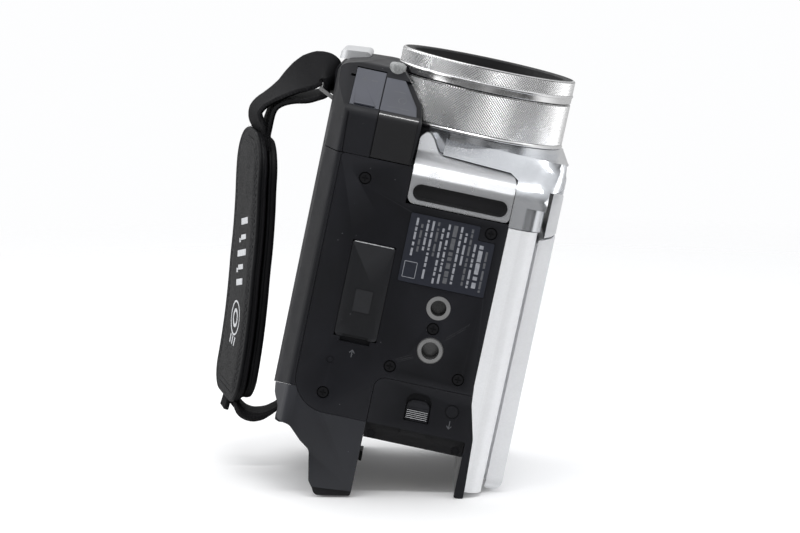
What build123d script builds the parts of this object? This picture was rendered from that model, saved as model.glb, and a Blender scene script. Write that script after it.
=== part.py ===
# Compact camcorder with a hinged side display, a slack hand strap and an open
# battery bay.  Millimetres.
# Frame: the origin is on the axis of the tripod socket, in the plane of the
# underside.  +X is the display side, -Y is the way the lens looks, +Z is up.
from build123d import *
import os, math

os.makedirs("parts", exist_ok=True)

# ---------------------------------------------------------------- dimensions
TOP_Z = 69.5            # roof of the housing
WALL = 2.0              # moulded wall thickness
GAP = 0.12              # seam between neighbouring shells
PLATE_T = 2.2           # thickness of the underside plates

AX_Z = 37.0             # lens axis height, the axis is x = 0
RING_R = 26.1           # outer radius of the lens rings
RING_FRONT = -82.0      # front rim of the lens
RING_SEAM = -75.0       # front edge of the turning ring
RING_REAR = -61.6       # rear edge of the turning ring
TUBE_R = 24.0           # static tube that the ring turns on
RING_RUN = 0.05         # radial running clearance of the ring
FILTER_R = 22.6         # filter thread minor radius (46 mm thread)
BARREL_R = 24.7         # smooth barrel behind the ring
COLLAR_R = 25.9         # fixed collar on the display side of the barrel

COVER_L = -36.3         # underside cover, grip side edge
COVER_R = 14.4          # underside cover, display side edge
COVER_F = -50.9         # front edge of the underside cover
COVER_B = 24.1          # rear edge of the underside cover
WELL_L, WELL_R = -13.8, 15.45    # battery bay side walls
WELL_Y = 29.1           # battery mounting face
LEG_G = 48.9            # rear end of the grip side leg
LEG_D = 40.8            # rear end of the display side leg
SHELL_END = 38.5        # rear end of the silver side shell

HINGE_X, HINGE_Y = 24.6, -55.0   # display hinge axis, vertical
HINGE_R = 3.6
LCD_IN, LCD_STEP, LCD_MID = 22.2, 23.2, 24.0   # screen side, groove floor, cover
LCD_F, LCD_B = -36.2, 36.4
LCD_Z0, LCD_Z1 = 6.5, 64.0

SOCKET_OD, SOCKET_R = 7.6, 2.55       # tripod socket, 1/4 inch thread minor
LOC_Y, LOC_OD, LOC_R = -12.6, 6.9, 2.3  # locating pin socket
SCREWS = [(-10.4, 6.8), (9.6, 6.6), (-27.7, 18.3), (-0.5, -6.4),
          (-28.4, -45.0), (10.0, -36.8)]
SCREW_R, SCREW_POCKET_R = 1.45, 1.8

DIAL_X, DIAL_Z, DIAL_R = -19.0, 45.0, 6.0
DIAL_Y = 42.3           # front face of the mode dial
ZOOM_X, ZOOM_Y = -25.0, 6.0
STRAP_TILT = -17.8      # lean of the strap pad about its length
WEB_T = 1.6             # webbing thickness


# ------------------------------------------------------------------- helpers
def bx(x0, x1, y0, y1, z0, z1):
    return Pos((x0 + x1) / 2, (y0 + y1) / 2, (z0 + z1) / 2) * Box(x1 - x0, y1 - y0, z1 - z0)


def cy(x, z, r, y0, y1):
    return Pos(x, (y0 + y1) / 2, z) * Rot(90, 0, 0) * Cylinder(r, y1 - y0)


def cz(x, y, r, z0, z1):
    return Pos(x, y, (z0 + z1) / 2) * Cylinder(r, z1 - z0)


def cx(y, z, r, x0, x1):
    return Pos((x0 + x1) / 2, y, z) * Rot(0, 90, 0) * Cylinder(r, x1 - x0)


def rface(pts):
    """Planar face from corner points (u, v, radius) in the XY plane."""
    n = len(pts)
    ends = []
    for i in range(n):
        a, b, c = pts[i - 1], pts[i], pts[(i + 1) % n]
        r = b[2] if len(b) > 2 else 0.0
        if r <= 0:
            ends.append(((b[0], b[1]), None, (b[0], b[1])))
            continue
        u = (a[0] - b[0], a[1] - b[1])
        w = (c[0] - b[0], c[1] - b[1])
        lu, lw = math.hypot(*u), math.hypot(*w)
        u = (u[0] / lu, u[1] / lu)
        w = (w[0] / lw, w[1] / lw)
        ang = math.acos(max(-1.0, min(1.0, u[0] * w[0] + u[1] * w[1])))
        d = r / math.tan(ang / 2)
        m = (u[0] + w[0], u[1] + w[1])
        lm = math.hypot(*m)
        m = (m[0] / lm, m[1] / lm)
        k = r / math.sin(ang / 2) - r
        ends.append(((b[0] + u[0] * d, b[1] + u[1] * d),
                     (b[0] + m[0] * k, b[1] + m[1] * k),
                     (b[0] + w[0] * d, b[1] + w[1] * d)))
    edges = []
    for i in range(n):
        p = ends[i - 1][2]
        q = ends[i][0]
        if math.hypot(p[0] - q[0], p[1] - q[1]) > 1e-5:
            edges.append(Line((p[0], p[1]), (q[0], q[1])))
        if ends[i][1] is not None:
            edges.append(ThreePointArc(ends[i][0], ends[i][1], ends[i][2]))
    return Face(Wire([e.edge() for e in edges]))


P_XZ = Plane(origin=(0, 0, 0), x_dir=(1, 0, 0), z_dir=(0, -1, 0))
P_YZ = Plane(origin=(0, 0, 0), x_dir=(0, 1, 0), z_dir=(1, 0, 0))


def prism_y(pts, y0, y1):
    f = rface(pts).moved(P_XZ.location).moved(Location((0, y0, 0)))
    return Solid.extrude(f, Vector(0, y1 - y0, 0))


def prism_x(pts, x0, x1):
    f = rface(pts).moved(P_YZ.location).moved(Location((x0, 0, 0)))
    return Solid.extrude(f, Vector(x1 - x0, 0, 0))


def prism_z(pts, z0, z1):
    f = rface(pts).moved(Location((0, 0, z0)))
    return Solid.extrude(f, Vector(0, 0, z1 - z0))


def lathe_y(pts):
    """Solid of revolution about the lens axis from (radius, y) corners."""
    f = rface([(r, y) for r, y in pts])
    f = f.moved(Location((0, 0, AX_Z)))
    return Solid.revolve(f, 360, Axis((0, 0, AX_Z), (0, 1, 0)))


def ribbon(path, t, z0, z1):
    """Flat band on edge: a path in XY with thickness t, from z0 to z1."""
    left, right = [], []
    n = len(path)
    for i in range(n):
        a = path[max(i - 1, 0)]
        b = path[min(i + 1, n - 1)]
        d = (b[0] - a[0], b[1] - a[1])
        l = math.hypot(*d)
        nx, ny = -d[1] / l, d[0] / l
        left.append((path[i][0] + nx * t / 2, path[i][1] + ny * t / 2))
        right.append((path[i][0] - nx * t / 2, path[i][1] - ny * t / 2))
    return prism_z(left + right[::-1], z0, z1)


NODES = {}


def solids_of(s):
    if isinstance(s, (list, tuple)):
        out = []
        for q in s:
            out += solids_of(q)
        return out
    return list(s.solids())


def put(name, shape, keep=None):
    ss = [q for q in solids_of(shape) if q.volume > 0.02]
    ss.sort(key=lambda q: -q.volume)
    if keep:
        ss = ss[:keep]
    NODES[name] = ss


def fil(shape, edges, r):
    if not edges:
        return shape
    s = shape.solid() if not isinstance(shape, Solid) else shape
    return s.fillet(r, edges)


# --------------------------------------------------------- body envelope
OUT = [(-38.0, 0.0, 2.0), (23.2, 0.0, 6.0), (23.2, TOP_Z, 6.0),
       (-38.5, TOP_Z, 8.0), (-43.3, 50.0, 30.0), (-43.3, 28.0, 24.0), (-41.6, 7.0, 6.0)]
INN = [(-36.6, 2.05, 1.0), (21.0, 2.05, 4.0), (21.0, TOP_Z - WALL, 4.0),
       (-37.3, TOP_Z - WALL, 6.0), (-41.3, 50.0, 26.0), (-41.3, 28.5, 22.0), (-39.7, 8.0, 5.0)]

outer = prism_y(OUT, -80, 60)
inner = prism_y(INN, -81, 61)

# slanted seam between the grip shell and the rear grip housing
seam_f = prism_x([(-90, -5), (18 - 0.21 * 5 - GAP / 2, -5), (18 + 0.21 * 80 - GAP / 2, 80), (-90, 80)], -60, 40)
seam_r = prism_x([(18 - 0.21 * 5 + GAP / 2, -5), (90, -5), (90, 80), (18 + 0.21 * 80 + GAP / 2, 80)], -60, 40)

cover_pts = [(COVER_L, COVER_F, 1.0), (-15.75, COVER_F, 0.4), (-15.75, -40.35), (COVER_R, -40.35),
             (COVER_R, 7.0, 6.0), (14.62, 10.35), (-13.75, 10.35, 3.2), (-13.75, COVER_B),
             (COVER_L, COVER_B, 10.0)]
panel_pts = [(-13.6, 10.5, 3.0), (14.62, 10.5), (14.9, 13.0, 4.0), (17.4, 23.0, 8.0), (18.3, LEG_D, 0.8),
             (15.5, LEG_D, 0.5), (15.5, COVER_B, 0.8), (-13.6, COVER_B, 0.3)]
# the whole underside plate region, with its seam gap, which the shells leave clear
under_pts = [(COVER_L - GAP, COVER_F - GAP, 1.1), (-15.6, COVER_F - GAP), (-15.6, -45), (COVER_R + GAP, -45),
             (COVER_R + GAP, 7.0, 6.0), (14.9 + GAP, 13.0, 4.0), (17.4 + GAP, 23.0, 8.0), (18.3 + GAP + 0.25, LEG_D + 5),
             (-13.6, LEG_D + 5), (-13.6, COVER_B + GAP), (COVER_L - GAP, COVER_B + GAP, 10.1)]
under = prism_z(under_pts, -3, PLATE_T + 0.05)

lens_clear = cy(0, AX_Z, RING_R + 0.8, -90, -60.5)
barrel_clear = cy(0, AX_Z, BARREL_R + 0.15, -90, -39.5)
well = bx(WELL_L, WELL_R, WELL_Y, 70, -5, 80)

# ---------------------------------------------------------- underside plates
SD = dict(x0=-28.0, x1=-15.7, y0=-26.6, y1=1.0)
sd_cut = bx(SD["x0"] - 0.15, SD["x1"] + 0.15, SD["y0"] - 0.55, SD["y1"] + 0.15, -1, 3)
sd_notch = bx(-26.2, -17.4, 0.9, 2.5, -1, 1.3)
label_pocket = prism_z([(-13.6, -38.4, 0.6), (6.9, -38.4, 0.3), (6.9, -34.3, 0.3), (11.9, -34.3, 0.5),
                        (11.9, -18.0, 0.6), (-13.6, -18.0, 0.6)], -1, 0.25)
bc = prism_z(cover_pts, 0, PLATE_T)
bc = bc - sd_cut - sd_notch - label_pocket
bc = bc - cz(0, 0, SOCKET_OD / 2 + 0.05, -1, 3) - cz(-0.2, LOC_Y, LOC_OD / 2 + 0.05, -1, 3)
for sx, sy in SCREWS:
    bc = bc - cz(sx, sy, SCREW_POCKET_R, -1, 0.9) - cz(sx, sy, 0.8, 0, 3)
# pivot holes of the card door, open to the door pocket
bc = bc - cx(-26.0, 0.95, 0.6, SD["x0"] - 1.0, SD["x1"] + 1.0)
# moulded ring mark near the latch is on the panel; a shallow one here beside the card door
bc = bc - (cz(-27.6, 8.4, 1.1, -1, 0.15) - cz(-27.6, 8.4, 0.7, -1, 0.2))
put("bottom_cover", bc, 1)

lp = prism_z(panel_pts, 0, PLATE_T)
latch_recess = prism_z([(-3.75, 12.9, 2.6), (3.6, 12.9, 2.6), (3.95, 21.3, 0.3), (-3.4, 21.3, 0.3)], -1, 1.5)
lp = lp - latch_recess - bx(-1.8, 2.4, 15.4, 20.6, 1, 3)
lp = lp - (cz(9.9, 16.1, 2.1, -1, 0.2) - cz(9.9, 16.1, 1.7, -1, 0.3))
put("latch_panel", lp, 1)

# battery latch: ribbed thumb slide, stem through the panel and hook carriage
bl = prism_z([(-3.3, 15.1, 2.2), (3.3, 15.1, 2.2), (3.55, 21.05, 0.2), (-3.05, 21.05, 0.2)], 0.15, 1.35)
bl = bl - prism_x([(14.0, -0.5), (17.3, -0.5), (17.3, 0.5), (16.0, 0.9), (14.0, 0.9)], -5, 5)
for k in range(6):
    bl = bl - bx(-4.5, 5.0, 17.75 + 0.56 * k, 18.02 + 0.56 * k, 0, 0.55)
bl = bl + bx(-1.4, 2.0, 18.0, 20.2, 1.3, 2.4) + bx(-3.0, 3.6, 17.4, 22.5, 2.35, 3.2)
put("battery_latch", bl, 1)

# card door, hinged at its front edge on two moulded pivots
door = prism_z([(SD["x0"], SD["y0"], 0.3), (SD["x1"], SD["y0"], 0.3), (SD["x1"], SD["y1"], 1.2), (SD["x0"], SD["y1"], 1.2)], 0.05, 1.75)
door = door + cx(-26.0, 0.95, 0.5, SD["x0"] - 0.7, SD["x1"] + 0.7)
door = door - bx(-25.5, -18.2, 0.2, 2, -1, 0.7)
door = door - (bx(-24.6, -19.2, -13.5, -6.5, -1, 0.13) - bx(-24.35, -19.45, -13.25, -6.75, -1, 0.3))
put("sd_door", door, 1)
slot = bx(-29.5, -14.2, -28.0, 6.0, 2.35, 6.2) - bx(-27.9, -15.8, -27.0, 3.5, 2.0, 5.0)
slot = slot + bx(-27.3, -16.4, -26.4, 2.6, 4.2, 5.2)
put("card_socket", slot, 1)

lab = prism_z([(-13.4, -38.2, 0.5), (6.7, -38.2, 0.3), (6.7, -34.1, 0.3), (11.7, -34.1, 0.5),
               (11.7, -18.2, 0.5), (-13.4, -18.2, 0.5)], 0.05, 0.22)
put("rating_label", lab, 1)

ts = cz(0, 0, SOCKET_OD / 2, -0.0, 2.3) + cz(0, 0, 4.6, 2.3, 7.0) - cz(0, 0, SOCKET_R, -1, 5.6)
ts = ts - (cz(0, 0, 5, -1, 0.25) - cz(0, 0, SOCKET_OD / 2 - 0.25, -1, 0.3))
put("tripod_socket", ts, 1)
ls = cz(-0.2, LOC_Y, LOC_OD / 2, 0.0, 2.3) + cz(-0.2, LOC_Y, 4.2, 2.3, 5.5) - cz(-0.2, LOC_Y, LOC_R, -1, 4.2)
put("locating_socket", ls, 1)

scr = []
for sx, sy in SCREWS:
    s = cz(sx, sy, SCREW_R, 0.15, 0.88) + cz(sx, sy, 0.75, 0.85, 2.2)
    s = s - bx(sx - 0.9, sx + 0.9, sy - 0.2, sy + 0.2, 0, 0.5) - bx(sx - 0.2, sx + 0.2, sy - 0.9, sy + 0.9, 0, 0.5)
    scr.append(s)
for sx in (-11.6, 13.2):
    scr.append(cz(sx, 27.6, 1.05, 2.42, 2.98))
put("body_screws", scr)

# ------------------------------------------------------------ silver side shell
shell_all = (outer - inner)
ls_region = bx(14.0, 30, -39.4, SHELL_END, -1, 80) + bx(-8.0, 30, -39.4, WELL_Y, TOP_Z - 6, 80)
side = shell_all & ls_region
side = side - under - bx(-30, 17.0, WELL_Y, 60, -5, 80)
# cheek that closes the rear end of the leg
rear_cheek = outer & bx(18.45, 30, SHELL_END - 2.0, SHELL_END, 2.4, TOP_Z)
side = side + rear_cheek
# display recess
side = side - bx(21.7, 40, -37.2, 36.9, 7.4, 63.4)
# keep a floor behind the recess
side = side + bx(20.3, 21.7, -37.6, 36.6, 6.0, 65.0)
side = side - bx(20.0, 22, -20.0, 20.0, 16.0, 20.0)   # window that the side panel backs
side = side.solid() if len(side.solids()) == 1 else sorted(side.solids(), key=lambda q: -q.volume)[0]
ed = [e for e in side.edges() if abs(e.center().Y - SHELL_END) < 0.01 and e.bounding_box().min.Y > SHELL_END - 0.01 and e.center().X > 21.5]
try:
    side = side.fillet(1.6, ed)
except Exception:
    pass
side_solid = side

# side control panel behind the closed display, with speaker slots
sp = bx(21.72, 22.0, -30.0, 30.0, 14.0, 22.0) + bx(20.4, 21.75, -19.8, 19.8, 16.2, 19.8)
for bxx in (-8.0, 6.0):
    sp = sp - bx(19, 23, bxx - 3.2, bxx + 3.2, 16.4, 19.6)
for k in range(6):
    sp = sp - bx(21.6, 23, 20.6 + 1.4 * k, 21.3 + 1.4 * k, 15.0, 21.0)
put("side_panel", sp, 1)
put("play_button", bx(20.9, 22.12, -8.0 - 3.05, -8.0 + 3.05, 16.55, 19.45), 1)
put("info_button", bx(20.9, 22.12, 6.0 - 3.05, 6.0 + 3.05, 16.55, 19.45), 1)
put("side_shell", side_solid, 1)

# black wall of the display side leg
lw = prism_z([(15.5, 29.2, 0), (15.5, LEG_D - 0.2, 0.8), (18.3, LEG_D - 0.2, 0.8), (18.3, 29.2, 0)], PLATE_T + 0.1, 63.0)
lw = lw + bx(15.5, 20.15, 29.2, 36.2, 5.0, 62.0)
put("leg_wall", lw, 1)

# --------------------------------------------------------------- grip shell
g_region = bx(-60, -8.15, -50.8, 60, -3, 80)
top_region = bx(-37.0, -8.15, -50.8, WELL_Y, TOP_Z - WALL - 0.01, 80)
top_keep = bx(-37.0 - GAP, 0, -50.8 - GAP, WELL_Y + GAP, TOP_Z - WALL - 0.05, 80)
grip = (shell_all & g_region & seam_f) - under - top_keep - barrel_clear
grip = grip - bx(-15.5, 0, -60, 60, -3, 60) - bx(WELL_L, 0, WELL_Y, 60, -3, 80)
# a shallow panel line over the storage unit and five finger ribs near the seam
grip = grip - (bx(-44, -42.95, -38.0, 10.0, 14.0, 56.0) - bx(-45, -42, -37.7, 9.7, 14.3, 55.7))
put("grip_shell", grip, 1)

tc = (shell_all & top_region)
zoom_recess = cz(ZOOM_X, ZOOM_Y, 8.0, TOP_Z - 0.9, 80)
tc = tc - zoom_recess - cz(ZOOM_X, ZOOM_Y, 4.95, 60, 80)
for k in range(7):
    tc = tc - bx(-30 + 0, -16, -38.0 + 1.5 * k, -37.3 + 1.5 * k, TOP_Z - 0.5, 80)
put("top_cover", tc, 1)

# ------------------------------------------------------------- rear grip housing
rg_xy = [(-50, 10), (-42.9, 10, 0), (-42.6, 21.0, 2.0), (-39.8, 25.6, 1.0), (-39.6, 29.0, 0.8), (-35.3, 29.8, 3.0),
         (-31.4, 33.6, 2.0), (-28.3, 35.8, 2.0), (-27.3, 41.0, 3.0), (-26.6, 44.8, 2.0), (-25.4, 46.4, 0),
         (-13.8, 45.3, 0.4), (-13.8, 10)]
rg_xy = [p for p in rg_xy if p[0] > -49]
rg_env = (outer & prism_z(rg_xy, -1, 80)) & seam_r
rg_in = (prism_y(INN, 0, 60) & prism_z([(-40.5, 5), (-40.2, 20, 2), (-37.4, 25.0), (-34.4, 28.0, 2), (-29.6, 32.3, 2),
                                        (-25.4, 37.0, 2), (-24.8, 43.4), (-15.8, 43.0), (-15.8, 5)], 2.4, TOP_Z - 2))
rg = rg_env - rg_in - under
rg = rg - bx(-13.8, 0, 0, 60, -5, 80) - bx(-37.0 - GAP, 0, 10, WELL_Y + GAP, TOP_Z - WALL - 0.05, 80)
# the strap slot through the outer wall
lip_r = prism_z([(-35.0, 28.8, 0), (-38.4, 28.6, 0), (-39.9, 30.2, 0.3), (-40.8, 33.4, 0.5), (-40.7, 35.1, 0.6), (-39.4, 35.6, 0.6), (-35.3, 35.2, 0.8), (-32.9, 32.1, 0)], 27.0, 54.0)
rg = rg + lip_r - bx(-50, -35.5, 31.0, 33.7, 30.5, 50.5)
# the dial slot through the inner wall and the rear
DIAL_SWEEP = 7.75
rg = rg - cy(DIAL_X, DIAL_Z, DIAL_SWEEP, DIAL_Y - 0.25, 60) - cy(-19.4, 14.0, 3.0, 40, 60)
rgs = sorted(rg.solids(), key=lambda q: -q.volume)[0]
put("rear_grip_housing", rgs, 1)

# dark rear panel at the end of the grip leg
rp_xy = [(-25.4, 46.5, 0.0), (-24.2, LEG_G, 1.8), (-14.0, 46.9, 0.7), (-13.8, 45.4, 0)]
rp = prism_z(rp_xy, 1.0, TOP_Z - 1.5) - cy(DIAL_X, DIAL_Z, DIAL_SWEEP, 40, DIAL_Y + 3.3) - cy(DIAL_X, DIAL_Z, 4.8, 40, 60)
rp = rp - cy(-19.4, 14.0, 3.0, 40, 60)
for k in range(3):
    rp = rp - cy(-19.4, 24.0 + 4.0 * k, 0.7, 47.0, 60)
put("rear_panel", rp, 1)
put("dc_jack", cy(-19.4, 14.0, 2.95, 43.4, 47.3) - cy(-19.4, 14.0, 2.0, 44.2, 60) + cy(-19.4, 14.0, 0.5, 43.8, 46.6), 1)

# mode dial: a ring that turns about the record button, with a thumb tab
dial_y0, dial_y1 = DIAL_Y, DIAL_Y + 3.15
md = cy(DIAL_X, DIAL_Z, DIAL_R, dial_y0, dial_y1) - cy(DIAL_X, DIAL_Z, 5.3, 40, 60)
tab = prism_z([(-13.6, dial_y0 + 0.1, 0.1), (-12.85, dial_y0 + 0.1, 0.2), (-12.75, dial_y1, 0.1), (-13.6, dial_y1, 0.0)], DIAL_Z - 3.6, DIAL_Z + 3.6)
tab = tab & cy(DIAL_X, DIAL_Z, 7.3, 40, 60)
md = md + (tab - cy(DIAL_X, DIAL_Z, 5.3, 40, 60))
put("mode_dial", md, 1)
rb = cy(DIAL_X, DIAL_Z, 4.55, dial_y0 + 1.8, 47.2).solid()
rb = rb.fillet(0.5, [e for e in rb.edges() if abs(e.center().Y - 47.2) < 0.01])
put("record_button", rb + cy(DIAL_X, DIAL_Z, 1.48, dial_y0 - 0.8, dial_y0 + 1.9), 1)
hub = cy(DIAL_X, DIAL_Z, 3.0, dial_y0 - 2.6, dial_y0) + cy(DIAL_X, DIAL_Z, 5.25, dial_y0 - 0.05, dial_y0 + 0.85) + bx(-24.0, -16.0, dial_y0 - 3.6, dial_y0 - 2.5, 39.0, 51.0) - cy(DIAL_X, DIAL_Z, 1.55, 35, 46)
put("dial_hub", hub, 1)

# --------------------------------------------------------------- battery bay
bp = bx(WELL_L + 0.02, WELL_R - 0.02, 27.2, WELL_Y, 5.1, 67.3)
bp = bp - bx(-9.0, 4.2, 28.2, 40, 12.0, 18.0)
put("battery_plate", bp, 1)
terms = [bx(-8.0 + 3.2 * k, -6.4 + 3.2 * k, 28.25, 29.0, 12.6, 17.4) for k in range(4)]
put("battery_terminals", terms)
lip = bx(WELL_L + 0.05, WELL_R - 0.05, 24.3, WELL_Y, 2.35, 5.0) + bx(-3.6, 4.0, 24.15, 25.9, 1.1, 2.5)
for sx in (-11.6, 13.2):
    lip = lip - cz(sx, 27.6, 1.15, 2.0, 3.0)
put("battery_rail", lip, 1)

# ------------------------------------------------------- front silver housing
fh = cy(0, AX_Z, BARREL_R, -61.5, -39.6)
# fixed collar behind the turning ring, on the display side only
fh = fh + (cy(0, AX_Z, COLLAR_R, -61.5, -59.2) & prism_z([(2.5, -61.6), (6.5, -59.1), (40, -59.1), (40, -61.6)], -5, 80))
def hull(pts):
    pts = sorted(set(pts))

    def half(seq):
        out = []
        for p in seq:
            while len(out) > 1 and ((out[-1][0] - out[-2][0]) * (p[1] - out[-2][1])
                                    - (out[-1][1] - out[-2][1]) * (p[0] - out[-2][0])) <= 0:
                out.pop()
            out.append(p)
        return out[:-1]
    return half(pts) + half(pts[::-1])


def radial(poly, c, count):
    """Points where rays from c leave a convex outline."""
    out = []
    for i in range(count):
        a = 2 * math.pi * (i + 0.5) / count
        d = (math.cos(a), math.sin(a))
        best = None
        for p, q in zip(poly, poly[1:] + poly[:1]):
            e = (q[0] - p[0], q[1] - p[1])
            den = d[0] * e[1] - d[1] * e[0]
            if abs(den) < 1e-9:
                continue
            w = (p[0] - c[0], p[1] - c[1])
            t = (w[0] * e[1] - w[1] * e[0]) / den
            k = (w[0] * d[1] - w[1] * d[0]) / den
            if t > 0 and -1e-6 <= k <= 1 + 1e-6:
                best = t if best is None else max(best, t)
        out.append((c[0] + d[0] * best, c[1] + d[1] * best))
    return out


def arc(cx0, cz0, r, count=48):
    return [(cx0 + r * math.cos(2 * math.pi * k / count), cz0 + r * math.sin(2 * math.pi * k / count)) for k in range(count)]


# shoulder: a smooth transition from the round barrel to the squarer body, wide enough to carry the display hinge
SC = (2.0, 35.0)
front_sec = radial(hull(arc(0, AX_Z, BARREL_R, 120) + arc(25.3, 10.9, 2.6) + arc(25.3, 59.1, 2.6)), SC, 72)
rear_sec = radial(hull(arc(-18.0, 6.6, 6.0) + arc(22.2, 6.6, 6.0) + arc(22.2, 63.4, 6.0) + arc(-18.0, 63.4, 6.0)), SC, 72)
wires = []
for yy, t in ((-59.6, 0.0), (-56.4, 0.33), (-52.6, 0.72), (-49.0, 0.96), (-46.0, 1.0)):
    pts = [Vector(p[0] + (q[0] - p[0]) * t, yy, p[1] + (q[1] - p[1]) * t) for p, q in zip(front_sec, rear_sec)]
    wires.append(Wire([Edge.make_spline(pts, periodic=True)]))
shoulder = Solid.make_loft(wires, False)
shoulder = shoulder & bx(-8.0, 40, -59.6, -46.0, -2, 75)
fh = fh + shoulder
fh = fh + prism_y([(-8.0, 0.6, 0), (24.0, 0.6, 6), (24.0, TOP_Z - 0.6, 6), (-8.0, TOP_Z - 0.6, 0)], -46.2, -39.6)
fh = fh - (bx(24.0, 40, HINGE_Y, -39, -5, 80) - cz(HINGE_X, HINGE_Y, HINGE_R + 0.02, -6, 81))
fh = fh - cy(0, AX_Z, BARREL_R - 2.0, -70, -30)
fh = fh - prism_y([(-12.5, 2.6, 0), (22.0, 2.6, 4), (22.0, TOP_Z - 2, 4), (-12.5, TOP_Z - 2, 0)], -46.6, -30)
# pocket of the turning hinge barrel, open to the display side
fh = fh - cz(HINGE_X, HINGE_Y, HINGE_R + 0.2, 9.6, 60.9)
fh = fh - bx(HINGE_X, 40, -59.2, -30, 9.6, 60.9)
fh = fh - cz(HINGE_X, HINGE_Y, 1.45, 7.0, 63.5)
# pocket for the microphone bracket
br_clear = prism_z([(-15.75, -59.0), (-13.4, -61.1), (-11.1, -58.9), (-8.95, -55.3), (12.0, -54.5), (14.4, -53.0), (14.4, -39.0), (-15.75, -39.0)], -2, 15.9)
fh = fh - br_clear
# the grip side of the barrel is buried in the grip block
fh = fh - bx(-60, -14.1, -39.7, -30, -5, 90)
put("front_housing", sorted(fh.solids(), key=lambda q: -q.volume)[0], 1)
put("hinge_pin", cz(HINGE_X, HINGE_Y, 1.4, 7.1, 63.4), 1)

# microphone bracket and grille
br = prism_x([(-40.5, 0.0, 0.6), (-48.4, 0.0, 2.5), (-52.6, 2.4, 6.0), (-55.2, 8.2, 4.0), (-60.8, 14.0, 0), (-60.8, 15.6, 0), (-40.5, 15.6, 0)], -15.5, 14.2)
br = br & prism_z([(-15.5, -58.6, 2.0), (-13.4, -60.7, 1.2), (-11.4, -58.6, 2.0), (-9.2, -55.0, 1.8), (14.2, -54.2, 3.0), (14.2, -40.5, 1.8), (-15.5, -40.5, 2.4)], -1, 16)
br = br - cy(0, AX_Z, BARREL_R + 0.06, -70, -30)
stad = [(-14.35, -46.55, 2.34), (13.15, -46.55, 2.34), (13.15, -41.85, 2.34), (-14.35, -41.85, 2.34)]
stad_o = [(-14.85, -47.05, 2.8), (13.65, -47.05, 2.8), (13.65, -41.35, 2.8), (-14.85, -41.35, 2.8)]
br = br - prism_z(stad, -1, 2.5) - prism_z(stad_o, -1, 0.35)
br = br - bx(-13.0, 12.0, -48.0, -42.5, 2.5, 8.0)
put("mic_bracket", sorted(br.solids(), key=lambda q: -q.volume)[0], 1)
gr_pts = [(u + (0.06 if u < 0 else -0.06), v + (0.06 if v < -44 else -0.06), 2.27) for u, v, r in stad]
gr = prism_z(gr_pts, 0.95, 2.4)
gr = gr - prism_z([(-13.6, -45.8, 1.6), (12.4, -45.8, 1.6), (12.4, -42.6, 1.6), (-13.6, -42.6, 1.6)], 0, 1.1)
put("mic_grille", gr, 1)

# ---------------------------------------------------------------- front grip block
FY, FZ = -63.2, 0.0                 # corner of the underside and the sloping face
LU = math.hypot(11.4, 12.3)
U = (-11.4 / LU, 12.3 / LU)         # up the slope
N = (12.3 / LU, 11.4 / LU)          # into the body
EDGE_R = 4.5                        # rounding between the two


def fac(u, n):
    return (FY + U[0] * u + N[0] * n, FZ + U[1] * u + N[1] * n)


def facet_box(x0, x1, u0, u1, n0, n1):
    return prism_x([fac(u0, n0), fac(u1, n0), fac(u1, n1), fac(u0, n1)], x0, x1)


def skin(x0, x1, y1, n0, n1, u1):
    """Curved plate: flat underside, rounded edge and the foot of the slope."""
    def corner(n):
        return FY + (n - n * N[1]) / N[0]
    return prism_x([(y1, n0), (corner(n0), n0, EDGE_R - n0), fac(u1, n0), fac(u1, n1),
                    (corner(n1), n1, EDGE_R - n1), (y1, n1)], x0, x1)


blk_prof = [(-51.05, 0.0), (FY, 0.0, EDGE_R), (-76.3, 14.15, 2.6), (-77.9, 36.0, 20.0),
            (-76.0, 57.0, 6.0), (-66.0, 69.8, 3.0), (-51.05, 69.8)]
BLK_XY = [(-50, -66), (-43.8, -70.6, 3.0), (-41.6, -74.8, 4.0), (-33.0, -76.9, 8.0), (-26.4, -78.2, 0.8), (-22.0, -74.2, 3.0),
          (-17.1, -68.0, 4.0), (-15.72, -61.5, 6.0), (-16.45, -51.05), (-50, -51.05)]
blk = (outer & prism_x(blk_prof, -60, -15.0)) & prism_z(BLK_XY, -5, 90)
# the wall flares forward to carry the strap ring
boss = prism_z([(-40.0, -72.9, 0), (-43.0, -72.9, 0.8), (-44.3, -71.0, 2.0), (-43.5, -65.0, 3.0), (-42.2, -58.0, 0), (-40.0, -58.0)], 34.0, 58.0)
blk = blk + boss
blk = blk - lens_clear - barrel_clear - cy(0, AX_Z, COLLAR_R + 0.2, -62, -59)
cav = bx(-38.6, -31.4, -72.6, -51.0, 9.5, 62.0)
blk = blk - cav - bx(-35.0, -28.0, -60.0, -51.0, 3.0, 10.0)
JC = dict(x0=-37.2, x1=-28.7, u0=2.3, u1=16.6)
blk = blk - facet_box(JC["x0"] - 0.12, JC["x1"] + 0.12, 2.12, 17.1, -1.0, 1.75)
blk = blk - facet_box(-36.2, -29.6, 4.0, 14.6, 1.0, 5.2)
blk = blk - facet_box(-28.45, -10.0, 2.12, 15.2, -1, 0.9)
blk = blk - skin(-28.42, -16.75, -51.0, -0.9, 0.95, 2.3)
# seam grooves of the matt quarter beside the glossy window
blk = blk - (skin(-28.56, -28.3, -51.0, -0.9, 0.3, 2.3))
blk = blk - prism_z([(-37.05, -64.6), (-36.8, -64.6), (-36.2, -51.0), (-36.45, -51.0)], -1, 0.3)
blk = blk - cy(-26.0, 15.0, 2.45, -90, -74.0)
# hinge pins of the jack cover
PX = fac(16.0, 0.75)
blk = blk - cx(PX[0], PX[1], 0.55, JC["x0"] - 0.75, JC["x1"] + 0.75)
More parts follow.
